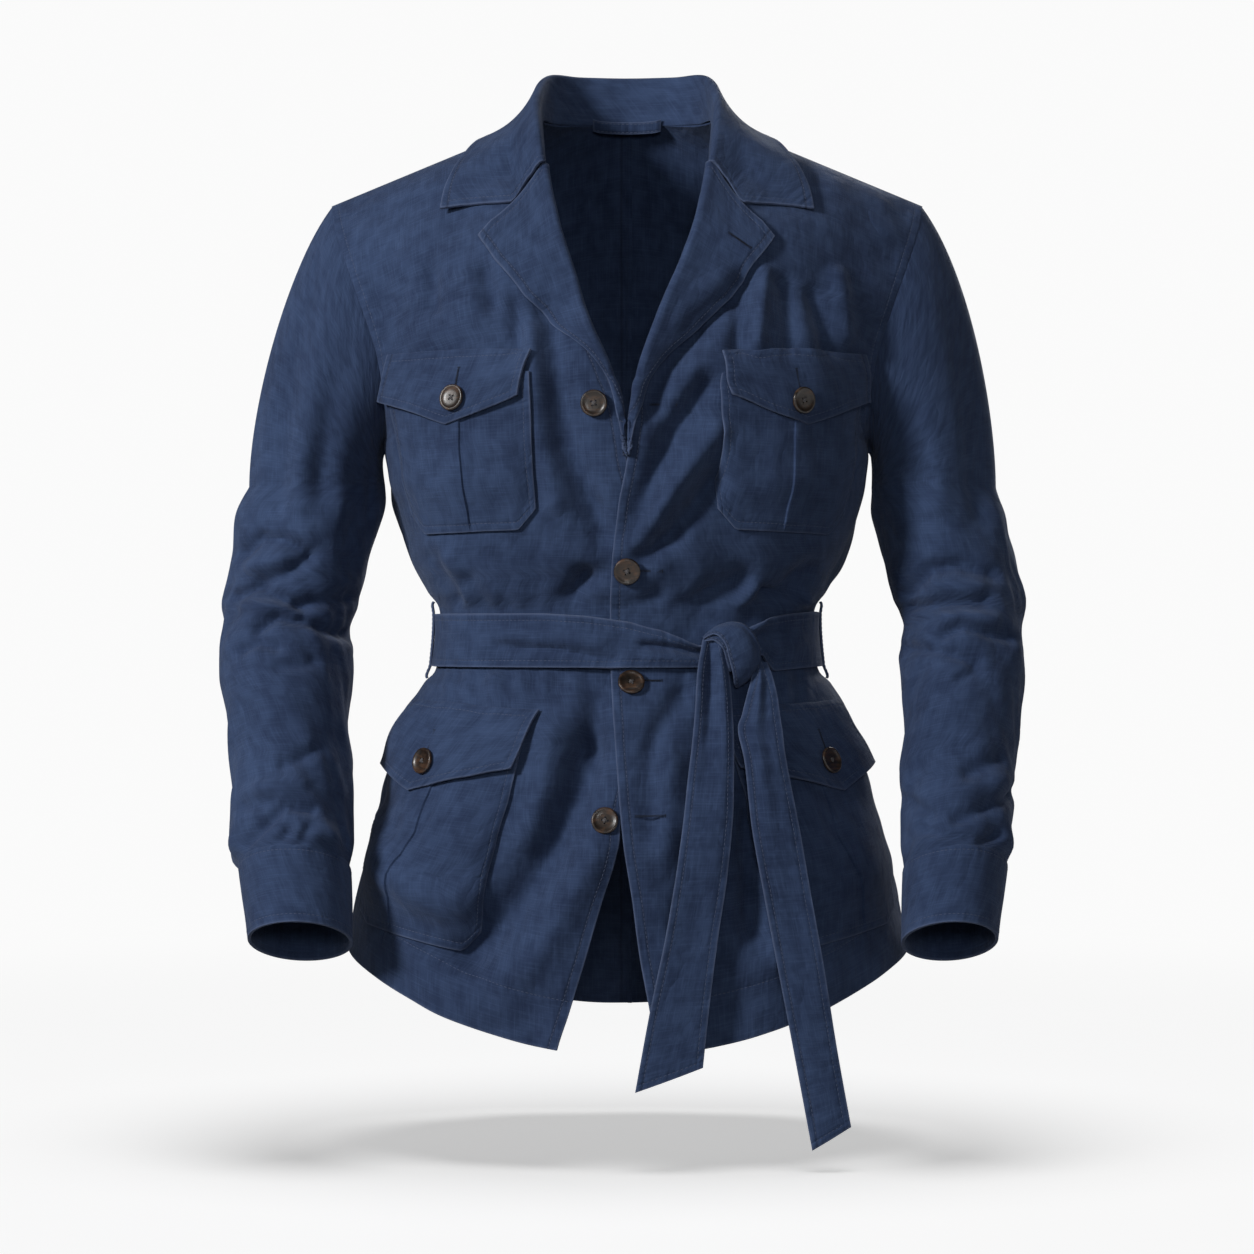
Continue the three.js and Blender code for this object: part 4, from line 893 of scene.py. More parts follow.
def armhole_point(side, angle):
    turned = angle % 360
    down = np.where(turned <= 180, turned, 360 - turned) / 180
    v = mix(SHOULDER, ARMPIT, down**1.08)
    front = cloth_point("front", side, 1.0, v)
    back = cloth_point("back", side, 1.0, v)
    return np.where((turned <= 180)[..., None], front, back) - np.array((side * SLEEVE_TUCK, 0, 0))


def sleeve_point(side, angle, f):
    angle, f = np.broadcast_arrays(np.asarray(angle, float), np.asarray(f, float))
    row = row_at(SLEEVE, f)
    ring = ring_point(row, side, angle, sleeve_lift(side, row, angle))
    first = {name: column[0] for name, column in SLEEVE.items()}
    to = ring_point(first, side, angle, sleeve_lift(side, first, angle))
    start = armhole_point(side, angle)
    high = (1 + np.cos(np.radians(angle))) / 2
    leave = xyz(
        side * mix(CROWN["armpit_out"], CROWN["top_out"], high),
        -CROWN["swell"] * np.sin(np.radians(angle)),
        -mix(CROWN["armpit_down"], CROWN["top_down"], high),
    )
    arrive = xyz(0, 0, -mix(*CROWN_FALL, high))
    h = np.clip(f + 1, 0, 1)[..., None]
    crown = (
        start * (2 * h**3 - 3 * h**2 + 1)
        + leave * (h**3 - 2 * h**2 + h)
        + to * (3 * h**2 - 2 * h**3)
        + arrive * (h**3 - h**2)
    )
    return np.where((f >= 0)[..., None], ring, crown)


for word, side in SIDES:
    turn = np.linspace(0, 360, 130)[None, :] + 180
    fine = np.linspace(-1, len(SLEEVE["z"]) - 1, 500)
    down = run_along(sleeve_point(side, 0.0, fine), 0)
    f = np.interp(np.linspace(0, down[-1], int(down[-1] / CELL)), down, fine)[:, None]
    points = sleeve_point(side, turn, f)
    middle = points[:, :-1].mean(axis=1, keepdims=True)
    _, _, down, to_end = borders(points)
    marks = {"edge": 0 * down + FAR, "line_b": to_end + SLEEVE_SEAMS[1], "line_d": down + SLEEVE_SEAMS[0]}
    piece = make_cloth(f"sleeve_{word}_cloth", points, points - middle, CLOTH, marks, closed=True)
    sew(piece, f"sleeve_{word}", points)

    f = np.append(np.linspace(0, 1, 4), np.linspace(1, 4, 24)[1:])[:, None]
    bend = CUFF_BEND["height"] * np.sin(np.radians(2 * turn + CUFF_BEND["turned"]))
    points = ring_point(row_at(CUFF, f), side, turn, bend)
    middle = points[:, :-1].mean(axis=1, keepdims=True)
    _, _, down, to_end = borders(points)
    marks = {
        "edge": np.minimum(down, to_end),
        "line_b": down - CUFF_STITCH,
        "line_d": to_end - CUFF_STITCH,
    }
    piece = make_cloth(f"cuff_{word}_cloth", points, points - middle, DOUBLED, marks, closed=True)
    sew(piece, f"cuff_{word}", points)

# Lapels and collar: the fronts turn back on themselves as notched lapels, and a doubled collar stands
# up round the neck, folds over and falls to the gorge seam. Their edges are topstitched.
FOLD_RADIUS = 3
FOLD_STEPS = 9
LAPEL = table(
    "rollZ edgeX edgeZ edgeLift dip",
    (-268, 0.5, -268, -1.5, 0),
    (-254, 4, -254, 1.5, 0),
    (-240, 6.8, -240, 3.2, 0),
    (-226, 10.2, -223, 3.6, 0),
    (-213, 17, -207, 3.6, 0),
    (-194, 31, -189, 3.4, 0),
    (-170, 54, -170, 3.6, 0),
    (-138, 76, -148, 3.8, 0),
    (-98, 95, -124, 4, 1),
    (-47, 108.5, -105, 4.4, 5),
)
LAPEL_SEAM = 1.3
LAPEL_CLEAR = 3.2
LAPEL_FLAT = {"radius": 0.5, "seam": -0.8, "rows": 3}  # how it starts, and the rows until it is full
COLLAR = table(
    "seamX seamY seamZ foldX foldY foldZ edgeX edgeY edgeZ",
    (0, 61.4, 3.5, 0, 70, 43, 0, 83, -8),
    (33, 53.2, 3, 36, 61, 42.5, 47, 75, -10.5),
    (56.6, 31, 0.5, 59, 35, 39, 86, 48, -15),
    (65.2, 0, -2, 67, -4, 19, 112, 2, -15.5),
    (65, -29, -16, 67.5, -34, -1, 128, -36, -38),
    (63.6, -49, -28.6, 66, -56, -21.5, 137.5, -55, -60),
    (62.2, -63, -44.4, 62.6, -72, -43.5, 141, -68, -79),
)
COLLAR_CLEAR = 3.2
COLLAR_HUG = {"depth": 6, "row": 3, "reach": 1.1}  # it lies close to the neck's side
COLLAR_LIES = {"front": 4, "back": 2}  # the rows from which, and up to which, it lies on each face
COLLAR_STITCH = 6
COLLAR_EVENED = 11  # rows either side of the centre back that are evened out
EVENING_PASSES = 60
GORGE = ((0.12, 8), (0.26, 22), (0.42, 17), (0.6, 11), (0.8, 5), (1, 0))  # how far the ends drop
FALL = np.linspace(0, 1, 26)[1:]


def turned_section(seam, fold, edge, outward, stand_steps, slack, radius):
    """Sections of a piece that turns over: up from its seam, round the fold and down to its edge."""
    up = unit(fold - seam)
    stand_top = fold - up * radius
    out = unit(outward - up * dot(outward, up))
    centre = stand_top + out * radius
    reach = edge - centre
    to_edge = np.arctan2(dot(reach, out), dot(reach, up)) % (2 * math.pi)
    lean = np.clip(radius / np.linalg.norm(reach, axis=-1, keepdims=True), 0, 0.95)
    end = to_edge + np.arcsin(lean)
    stand = [mix(seam, stand_top, share) for share in np.linspace(0, 1, stand_steps + 1)[:-1]]
    turn = [
        centre - out * radius * np.cos(angle) + up * radius * np.sin(angle)
        for angle in (end * share for share in np.linspace(0, 1, FOLD_STEPS + 1))
    ]
    belly = unit(up * dot(reach, out) - out * dot(reach, up))
    fall = [mix(turn[-1], edge, share) + belly * slack * math.sin(math.pi * share) for share in FALL]
    return np.stack(stand + turn + fall, axis=1)


def edge_place(side, z):
    return place_at("front", side, side * front_edge_x(side, z), z)


for word, side in SIDES:
    f = np.linspace(0, len(LAPEL["rollZ"]) - 1, 90)
    row = row_at(LAPEL, f)
    radius = mix(LAPEL_FLAT["radius"], FOLD_RADIUS, smooth(0, LAPEL_FLAT["rows"] + 0.5, f))[:, None]
    t, v = edge_place(side, row["rollZ"])
    out = cloth_normal("front", side, t, v)
    edge = over_cloth("front", side, side * row["edgeX"], row["edgeZ"], row["edgeLift"])
    above, below = (cloth_point("front", side, *edge_place(side, row["rollZ"] + step)) for step in (6, -6))
    outward = unit(side * np.cross(above - below, out))
    seam = cloth_point("front", side, t, v) - out * CLOTH / 2
    seam -= outward * mix(LAPEL_FLAT["seam"], LAPEL_SEAM, smooth(0, LAPEL_FLAT["rows"], f))[:, None]
    points = turned_section(seam, seam - outward * radius, edge, out, 1, 0.5, radius)[:, 1:]
    fall = points[:, FOLD_STEPS + 1:]
    fall[..., 2] -= row["dip"][:, None] * np.sin(np.pi * np.minimum(1, 1.25 * FALL))
    clear = over_cloth("front", side, fall[..., 0], fall[..., 2], LAPEL_CLEAR)
    fall[..., 1] = np.minimum(fall[..., 1], clear[..., 1])
    normals = grid_normals(points, len(f) // 2, -8)
    _, to_edge, _, to_gorge = borders(points)
    marks = {
        "mitred": True,
        "edge": np.minimum(to_edge, to_gorge),
        "line_a": to_edge - COLLAR_STITCH,
        "line_b": to_gorge - COLLAR_STITCH,
    }
    points = points + normals * DOUBLED / 2
    if word == "left":
        lapel_face = points[:, FOLD_STEPS + 1:], normals[:, FOLD_STEPS + 1:]
    piece = make_cloth(f"lapel_{word}_cloth", points, normals, DOUBLED, marks)
    sew(piece, f"lapel_{word}", points)


def collar_half(side, f):
    row = row_at(COLLAR, f)
    seam, fold, edge = (
        xyz(side * row[key + "X"], row[key + "Y"], row[key + "Z"]) for key in ("seam", "fold", "edge")
    )
    hug = COLLAR_HUG["depth"] * bell((f - COLLAR_HUG["row"]) / COLLAR_HUG["reach"])[:, None]
    section = turned_section(seam, fold, edge, edge - fold, 8, 1 - hug, FOLD_RADIUS)
    dropped = smooth(len(COLLAR["seamX"]) - 2.6, len(COLLAR["seamX"]) - 1, f)[:, None]
    fall = section[:, -len(FALL):]
    fall[..., 2] -= np.interp(FALL, *zip(*GORGE)) * smooth(0, GORGE[0][0], FALL) * dropped
    on_front, on_back = f > COLLAR_LIES["front"], f < COLLAR_LIES["back"]
    for face, reached, nearer in (("front", on_front, np.minimum), ("back", on_back, np.maximum)):
        clear = over_cloth(face, side, fall[..., 0], fall[..., 2], COLLAR_CLEAR)[..., 1]
        fall[..., 1] = np.where(reached[:, None], nearer(fall[..., 1], clear), fall[..., 1])
    return section


f = np.linspace(0, len(COLLAR["seamX"]) - 1, 84)
points = np.concatenate((collar_half(-1, f)[:0:-1], collar_half(1, f)))
middle = slice(len(f) - COLLAR_EVENED, len(f) + COLLAR_EVENED)
for _ in range(EVENING_PASSES):
    evened = (points[:-2] + 2 * points[1:-1] + points[2:]) / 4
    points[middle] = evened[middle.start - 1:middle.stop - 1]
normals = grid_normals(points, len(f), -8, way=1)
_, to_edge, along, to_left = borders(points)
to_end = np.minimum(along, to_left)
marks = {
    "mitred": True,
    "up": along,
    "edge": np.minimum(to_edge, to_end),
    "line_a": to_edge - COLLAR_STITCH,
    "line_b": to_end - COLLAR_STITCH,
}
points = points + normals * DOUBLED / 2
piece = make_cloth("collar_cloth", points, normals, DOUBLED, marks)
sew(piece, "collar", points)

# Patch pockets and their flaps: two at the chest and two larger ones on the skirts of the jacket. Each
# is sewn on round three sides, bellies out, and has a pleat that opens down it. The flap is doubled,
# pointed and sewn on along its top, and tips off the pocket.
POCKET_LIFT = 1.0
POCKET_STITCH = 6
CHEST_POCKET = {
    "name": "chest_pocket",
    "upper": ((0, 180, -207), (1, 70, -207)),
    "lower": ((0, 162, -308), (0.15, 150, -324), (0.85, 80, -322), (1, 67, -307)),
    "swell": 6,
    "pleat": ((0, 0.5), (1, 0.5)),
}
LOW_POCKET = {
    "name": "low_pocket",
    "upper": ((0, 172, -474), (1, 76, -478)),
    "lower": ((0, 204, -606), (0.12, 195, -618), (0.88, 127, -632), (1, 112, -617)),
    "swell": 11,
    "pleat": ((0, 0.42), (0.35, 0.41), (0.5, 0.43), (0.72, 0.33), (1, 0.31)),
}
CHEST_FLAP = {
    "name": "chest_flap",
    "upper": ((0, 179, -188.5), (0.5, 124, -187.5), (1, 69.5, -191)),
    "lower": ((0, 181.5, -222), (0.5, 130.5, -243), (1, 76, -223)),
    "rise": 5,
    "button": (0.53, 0.7),
}
LOW_FLAP = {
    "name": "low_flap",
    "upper": ((0, 158, -451), (0.5, 116, -453), (1, 63, -456.5)),
    "lower": ((0, 181, -500), (0.25, 158, -517), (1, 82.5, -499)),
    "rise": 6.5,
    "button": (0.31, 0.68),
}
PLEAT_STEP = 1.7
PLEAT_FOLD = 0.004  # the share of a pocket's width that the pleat's fold takes
FORWARD = np.array((0, -1, 0))


def along_edge(rows, u):
    share, x, z = zip(*rows)
    return np.interp(u, share, x), np.interp(u, share, z)


def three_edges(points, inset):
    """The marks of a piece that is topstitched along both sides and its last row."""
    left, right, _, last = borders(points)
    return {
        "mitred": True,
        "line_a": left - inset,
        "line_c": right - inset,
        "line_b": last - inset,
        "edge": np.min((left, right, last), axis=0),
    }


def patch_lift(piece, u, w):
    if "rise" in piece:
        return POCKET_LIFT + piece["rise"] * w**0.75
    dome = (4 * u * (1 - u)) ** 0.6 * smooth(0.08, 0.6, w) * smooth(1, 0.66, w)
    fold = np.interp(w, *zip(*piece["pleat"]))
    step = PLEAT_STEP * smooth(fold - 0.3, fold, u) * (u < fold + 0.001) * smooth(1, 0.93, w)
    return POCKET_LIFT + piece["swell"] * dome * (1 - 0.12 * bell((u - fold) / 0.08)) + step


def patch_point(side, piece, u, w, height=0.0):
    u, w = np.broadcast_arrays(np.asarray(u, float), np.asarray(w, float))
    upper_x, upper_z = along_edge(piece["upper"], u)
    lower_x, lower_z = along_edge(piece["lower"], u)
    lift = patch_lift(piece, u, w) + height
    return over_cloth("front", side, side * mix(upper_x, lower_x, w), mix(upper_z, lower_z, w), lift)


for word, side in SIDES:
    for kind in (CHEST_POCKET, LOW_POCKET, CHEST_FLAP, LOW_FLAP):
        flap = "rise" in kind
        thickness = DOUBLED if flap else CLOTH
        w = np.linspace(0, 1, 16 if flap else 44)[:, None]
        if flap:
            corner = kind["lower"][1][0]
            u = np.unique(np.append(np.linspace(0, 1, 42), corner))[None, :] + 0 * w
        else:
            fold = np.interp(w[:, 0], *zip(*kind["pleat"]))
            half = (0, 0.5, 0.5 + PLEAT_FOLD, 1)
            spread = np.concatenate((np.linspace(*half[:2], 22), np.linspace(*half[2:], 22)))
            u = np.stack([np.interp(spread, half, (0, one, one + PLEAT_FOLD, 1)) for one in fold])
        points = patch_point(side, kind, u, w, thickness)
        marks = three_edges(points, POCKET_STITCH)
        if flap:
            marks["line_d"] = run_along(points, 0) - POCKET_STITCH
        name = f"{kind['name']}_{word}"
        piece = make_cloth(f"{name}_cloth", points, 0 * points + FORWARD, thickness, marks)
        sew(piece, name, points)

# The belt: a doubled band of the same linen, topstitched along both edges. It goes round the waist
# through a loop at each side seam and is tied in front in one half knot, and its two ends hang down.
BELT_GAP = 2
BELT_OVER_FRONT = {"height": 3, "half": 20, "fade": 30}  # it stands off the lapped front edges
QUARTERS = (("front", -1, 1, 0), ("front", 1, 0, 1), ("back", 1, 1, 0), ("back", -1, 0, 1))
BELT_STITCH = 5
BELT_DRAWN = table(
    "x down up",
    (-60, 0, 0), (-30, 1.9, 0), (1.5, 6.3, 0), (17, 10.7, 0), (24, 12, 0), (39, 18, 0), (52, 24.8, 0),
    (66, 22, 4), (80, 14, 10), (90, 9.5, 10), (99.6, 5, 8.6), (104, 3.5, 2), (108, 2.5, -3), (118, 0.5, -2),
    (140, -1.8, 0), (160, 0, 0),
)
BELT_FOLDS = (
    (3.4, -3, (-96, -408), (-46, -411), (-10, -419)),
    (6, 2, (-90, -400), (-20, -406)),
    (2.8, -4, (12, -407), (40, -410), (56, -415)),
    (4, 2, (10, -401), (50, -408)),
    (4, 2, (14, -416), (56, -419)),
    (3, 3, (88, -398), (100, -391)),
    (3, -2.5, (92, -403), (112, -397)),
    (5, 1.5, (96, -412), (128, -404)),
)


def belt_point(face, side, t, k, height):
    t, k = np.broadcast_arrays(np.asarray(t, float), np.asarray(k, float))
    v = mix(BELT_LOW, BELT_HIGH, (k + 1) / 2)

    def form(u, w):
        return form_point(face, side, u, w)

    base = form(t, v)
    x = base[..., 0]
    out = outward_of(face, side, form, t, v)
    out[..., 2] = 0
    out = unit(out)
    bridge = 0 * x
    base[..., 2] = BELT_Z + k * BELT_WIDTH / 2
    if face == "front":
        past = np.maximum(np.abs(x) - BELT_OVER_FRONT["half"], 0)
        bridge = BELT_OVER_FRONT["height"] * bell(past / BELT_OVER_FRONT["fade"])
        down, up = (np.interp(x, BELT_DRAWN["x"], BELT_DRAWN[key]) for key in ("down", "up"))
        base[..., 2] += mix(up, -down, (k + 1) / 2)
        bridge = bridge + fold_lift(BELT_FOLDS, x, base[..., 2])
    return base + out * (BELT_GAP + bridge + height)[..., None]


k = np.linspace(-1, 1, 15)[:, None]
arcs = [
    belt_point(face, side, np.linspace(first, last, 66)[None, :-1], k, DOUBLED)
    for face, side, first, last in QUARTERS
]
points = np.concatenate((*arcs, arcs[0][:, :1]), axis=1)
_, _, up, to_top = borders(points)
marks = {"edge": np.minimum(up, to_top), "line_b": up - BELT_STITCH, "line_d": to_top - BELT_STITCH}
piece = make_cloth("belt_cloth", points, points * np.array((1, 1, 0)), DOUBLED, marks, closed=True)
sew(piece, "belt", points)

# The two ends of the belt come out from under the knot, fold lengthwise there and hang down, flat
# lower down, to slanted tips. The fold's valley and ridge stand at shares of the end's width.
BELT_ENDS = {
    "inner": table(
        "leftX leftY leftZ rightX rightY rightZ curl valley ridge",
        (56, -109, -403, 71, -110, -405, 1, 2, 1),
        (54, -113, -413, 73, -111.5, -413, 1, 4, 2),
        (52.2, -115.5, -424, 75, -113, -425, 1, 5.5, 3),
        (51.2, -118, -437, 76.5, -115, -438, 1, 6, 3.5),
        (50.3, -121, -452, 77.6, -118, -452, 1, 5.5, 3.5),
        (47.5, -129, -480, 78.6, -128, -479, 2, 3.5, 2.5),
        (44, -138, -508, 78.2, -136, -508, 2, 1.5, 1.5),
        (41, -144, -535, 77.2, -142, -535, 3, 0.5, 0.8),
        (35, -151, -578, 72.7, -147, -578, 1, 0.5, 0.5),
        (27.7, -155, -622, 66.2, -151, -620, -1, 0, 0.4),
        (16.7, -158, -672, 59.6, -155, -671, 1, 0, 0.4),
        (5.8, -160, -731, 55, -159, -713, 2, 0, 0),
    ),
    "outer": table(
        "leftX leftY leftZ rightX rightY rightZ curl valley ridge",
        (93, -104, -419, 104, -102, -420, 1, -1, 0),
        (92, -108, -431, 108, -106, -431, 1, -3, 0),
        (88, -112, -446, 111.5, -109, -446, 1, -4, 1),
        (84.5, -117, -459, 113, -114, -459, 1, -4, 1),
        (81.5, -122, -470, 114.5, -120, -470, 1, -3, 1),
        (86, -133, -493, 117, -128, -492, 2, -2, 1),
        (91.5, -141, -544, 126.5, -137, -543, 2, -0.8, 0.6),
        (101, -144, -594, 135, -141, -593, -1, 0, 0.4),
        (110.2, -147, -645, 143.8, -144, -643, 1, 0, 0.4),
        (121, -150, -702, 152.7, -147, -700, 2, 0, 0.3),
        (134.4, -153, -774, 162.8, -151, -757, 1, 0, 0),
    ),
}
END_VALLEY = (0.40, 0.17)
END_RIDGE = (0.80, 0.12)
for word, rows in BELT_ENDS.items():
    row = fine_rows(rows, 120)
    share = np.linspace(0, 1, 24)[None, :]
    valley = row["valley"] * bell((share - END_VALLEY[0]) / END_VALLEY[1])
    ridge = row["ridge"] * bell((share - END_RIDGE[0]) / END_RIDGE[1])
    lift = valley - ridge - row["curl"] * np.sin(np.pi * share)
    points = xyz(
        mix(row["leftX"], row["rightX"], share),
        mix(row["leftY"], row["rightY"], share) + lift - DOUBLED / 2,
        mix(row["leftZ"], row["rightZ"], share),
    )
    marks = three_edges(points, BELT_STITCH)
    piece = make_cloth(f"belt_end_{word}_cloth", points, 0 * points + FORWARD, DOUBLED, marks)
    sew(piece, f"belt_end_{word}", points)

# The half knot: the belt's doubled band wraps once over the two ends, from a point at its left, over
# the top and down the right side, and tucks in under itself. A second turn shows inside its rim.
KNOT_WRAP = table(
    "innerX innerZ outerX outerZ frontY crease",
    (56.5, -403, 56, -401.2, -111, 0),
    (60.5, -400.4, 61.5, -396.4, -113.5, 0),
    (64.5, -399.4, 68, -392.3, -116, 0.2),
    (68.8, -401.8, 79, -389.9, -118, 0.6),
    (72.6, -407.5, 89.3, -393.3, -119.5, 1),
    (74.8, -416, 97, -403.5, -120, 1),
    (77, -424, 99.2, -416, -119.5, 0.8),
    (78.5, -431, 96.2, -427.5, -117.5, 0.3),
    (79.2, -436.5, 88, -436, -114, 0),
    (80.5, -439, 83, -439.6, -108, 0),
)
KNOT_UNDER = table(
    "innerX innerZ outerX outerZ frontY crease",
    (56.3, -404.6, 56.2, -402, -110, 0),
    (60, -404.2, 62, -399, -112.5, 0),
    (63.5, -403.8, 69, -398, -114.5, 0.3),
    (68, -406.5, 76, -402, -116, 0.3),
    (71.2, -411.5, 80, -408, -116.5, 0.3),
    (73.4, -419, 84, -415, -116, 0),
    (75.6, -427, 84, -424, -114, 0),
)
KNOT_DEPTH = 16
KNOT_CURL = 112
KNOT_CREASE = {"at": 0.55, "width": 0.07, "depth": 1.6}
KNOT_STITCH = 2.2
KNOT_CLOTH = 1.8
for name, rows, depth in (("wrap", KNOT_WRAP, KNOT_DEPTH), ("under", KNOT_UNDER, KNOT_DEPTH / 2)):
    row = fine_rows(rows, 60)
    share = np.linspace(0, 1, 34)[None, :]
    angle = np.radians(KNOT_CURL) * share
    dent = row["crease"] * bell((share - KNOT_CREASE["at"]) / KNOT_CREASE["width"])
    points = xyz(
        mix(row["innerX"], row["outerX"], np.sin(angle)),
        row["frontY"] + depth * (1 - np.cos(angle)) + KNOT_CREASE["depth"] * dent,
        mix(row["innerZ"], row["outerZ"], np.sin(angle)),
    )
    across = run_along(points, 1)
    marks = {"edge": across, "line_a": across - KNOT_STITCH}
    piece = make_cloth(f"belt_knot_{name}", points, grid_normals(points, 30, 5), KNOT_CLOTH, marks)
    sew(piece, "belt_knot", points)

# Belt loops: a narrow strip of the linen at each side seam, sewn to the jacket above and below the belt
# and standing clear of it. The hanger loop is a like strip inside the neck, sewn down at both ends.
BELT_LOOP = table(
    "z off",
    (-374, 1.4), (-377, 4.5), (-384, 6.2), (-404, 6.8), (-424, 6.2), (-431, 4.5), (-434, 1.6),
)
LOOP_WIDTH = 9
LOOP_CURL = 0.35
HANGER = table(
    "x y z",
    (-27, 54.9, -1.5), (-24, 54.6, -2.4), (-20, 54.8, -3), (-10, 56.6, -3.4), (0, 57.4, -3.5),
    (10, 56.6, -3.4), (20, 54.8, -3), (24, 54.6, -2.4), (27, 54.9, -1.5),
)
HANGER_WIDTH = 9.5
HANGER_LEAN = 1.5
STRIP_STITCH = 1.6


def sew_strip(node, points, outward):
    across, to_far, _, _ = borders(points)
    marks = {"line_a": across - STRIP_STITCH, "line_c": to_far - STRIP_STITCH}
    piece = make_cloth(f"{node}_strip", points, 0 * points + outward, CLOTH, marks)
    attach(piece, "root")
    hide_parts(node)


for word, side in SIDES:
    row = fine_rows(BELT_LOOP, 40)
    v = np.interp(row["z"], BODY["edgeZ"], np.arange(len(BODY["edgeZ"])))
    edge = cloth_point("front", side, 1, v)
    share = np.linspace(-1, 1, 7)[None, :]
    x = edge[..., 0] + side * (row["off"] - LOOP_CURL * share**2)
    points = xyz(x, edge[..., 1] + side * share * LOOP_WIDTH / 2, row["z"])
    sew_strip(f"belt_loop_{word}", points, (side, 0, 0))

row = fine_rows(HANGER, 50)
share = np.linspace(0, 1, 7)[None, :]
y = row["y"] - HANGER_LEAN * share - CLOTH
sew_strip("hanger_loop", xyz(row["x"], y, row["z"] + HANGER_WIDTH * share), FORWARD)

# Buttons: brown horn with a raised rim round a dished face and four holes, sewn on with crossed
# thread. Four stand down the front, and one holds down each flap.
BUTTON_PROFILE = (
    (9.3, 0.5), (9.9, 1.2), (9.9, 2.3), (9.55, 2.95), (9, 3.2), (8.3, 3.15), (7.5, 2.75), (6.6, 2.4),
    (4.5, 2.25),
)
BUTTON_BACK = 7
HOLE_RADIUS = 0.8
HOLE_OFFSET = 1.45
BUTTON_SHANK = 0.5
THREAD = 0.42
SHANK_RADIUS = 1.9
FLAP_BUTTON_TURN = 15
FRONT_BUTTONS = table(
    "side x z turn off",
    (-1, -24, -230, 8, 0),
    (1, 0, -352, 20, 0),
    (1, 3, -437, -12, 0.1),
    (-1, -16, -536, 35, 0),
)
HORN_BROWNS = ((0.36, (0.006, 0.004, 0.003)), (0.50, (0.020, 0.012, 0.008)), (0.66, (0.070, 0.036, 0.020)))
horn, paint, fill = new_material("brown_horn")
spot = paint.node("ShaderNodeTexCoord", output=3)
drawn = {"Vector": spot, "Scale": (90, 90, 260), "Rotation": (0.5, 0.2, 0.6)}
drawn = {"Vector": paint.node("ShaderNodeMapping", drawn), "Scale": 1.0, "Detail": 4.0, "Distortion": 1.2}
streaks = paint.node("ShaderNodeTexNoise", drawn)
cloud = paint.node("ShaderNodeTexNoise", {"Vector": spot, "Scale": 140.0, "Detail": 2.0})
scuffs = paint.node("ShaderNodeTexNoise", {"Vector": spot, "Scale": 900.0, "Detail": 3.0})
fill({
    "Base Color": paint.node("ShaderNodeValToRGB", {0: streaks * 0.65 + cloud * 0.35}, stops=HORN_BROWNS),
    "Roughness": 0.26 + 0.20 * scuffs,
    "Normal": paint.node("ShaderNodeBump", {"Strength": 0.25, "Distance": 0.0002, "Height": scuffs}),
    "Specular IOR Level": 0.35,
    "Coat Weight": 0.12,
    "Coat Roughness": 0.22,
})


def thread_material(name, dark, light):
    material, paint, fill = new_material(name)
    spot = paint.node("ShaderNodeTexCoord", output=3)
    twist = paint.node("ShaderNodeTexNoise", {"Vector": spot, "Scale": 1500.0, "Detail": 2.0})
    fill({
        "Base Color": twist.blend(dark, light),
        "Roughness": 0.7 + 0.15 * twist,
        "Normal": paint.node("ShaderNodeBump", {"Strength": 0.5, "Distance": 0.0003, "Height": twist}),
        "Specular IOR Level": 0.3,
    })
    return material


button_thread = thread_material("button_thread", (0.05, 0.05, 0.06, 1), (0.16, 0.15, 0.15, 1))

bpy.ops.object.select_all(action="DESELECT")
bpy.ops.mesh.primitive_circle_add(vertices=44, radius=BUTTON_BACK * MM, fill_type="NGON")
button = bpy.context.object
bpy.ops.object.mode_set(mode="EDIT")
bpy.ops.mesh.select_all(action="SELECT")
radius, level = BUTTON_BACK, 0
for next_radius, next_level in BUTTON_PROFILE:
    rise = (0, 0, (next_level - level) * MM)
    bpy.ops.mesh.extrude_region_move(TRANSFORM_OT_translate={"value": rise})
    grow = next_radius / radius
    bpy.ops.transform.resize(value=(grow, grow, 1))
    radius, level = next_radius, next_level
bpy.ops.mesh.select_all(action="SELECT")
bpy.ops.mesh.normals_make_consistent(inside=False)
bpy.ops.object.mode_set(mode="OBJECT")
cross = [(x * HOLE_OFFSET, y * HOLE_OFFSET) for x in (-1, 1) for y in (-1, 1)]
for x, y in cross:
    bpy.ops.object.select_all(action="DESELECT")
    bpy.ops.mesh.primitive_cylinder_add(
        vertices=16, radius=HOLE_RADIUS * MM, depth=10 * MM, location=(x * MM, y * MM, 0)
    )
    drill = bpy.context.object
    bpy.context.view_layer.objects.active = button
    hole = button.modifiers.new("hole", "BOOLEAN")
    hole.object = drill
    hole.operation = "DIFFERENCE"
    bpy.ops.object.modifier_apply(modifier=hole.name)
    bpy.data.objects.remove(drill)
button.data.materials.append(horn)
button.data.materials.append(button_thread)
pick(button)
bpy.ops.object.shade_smooth_by_angle(angle=math.radians(38))

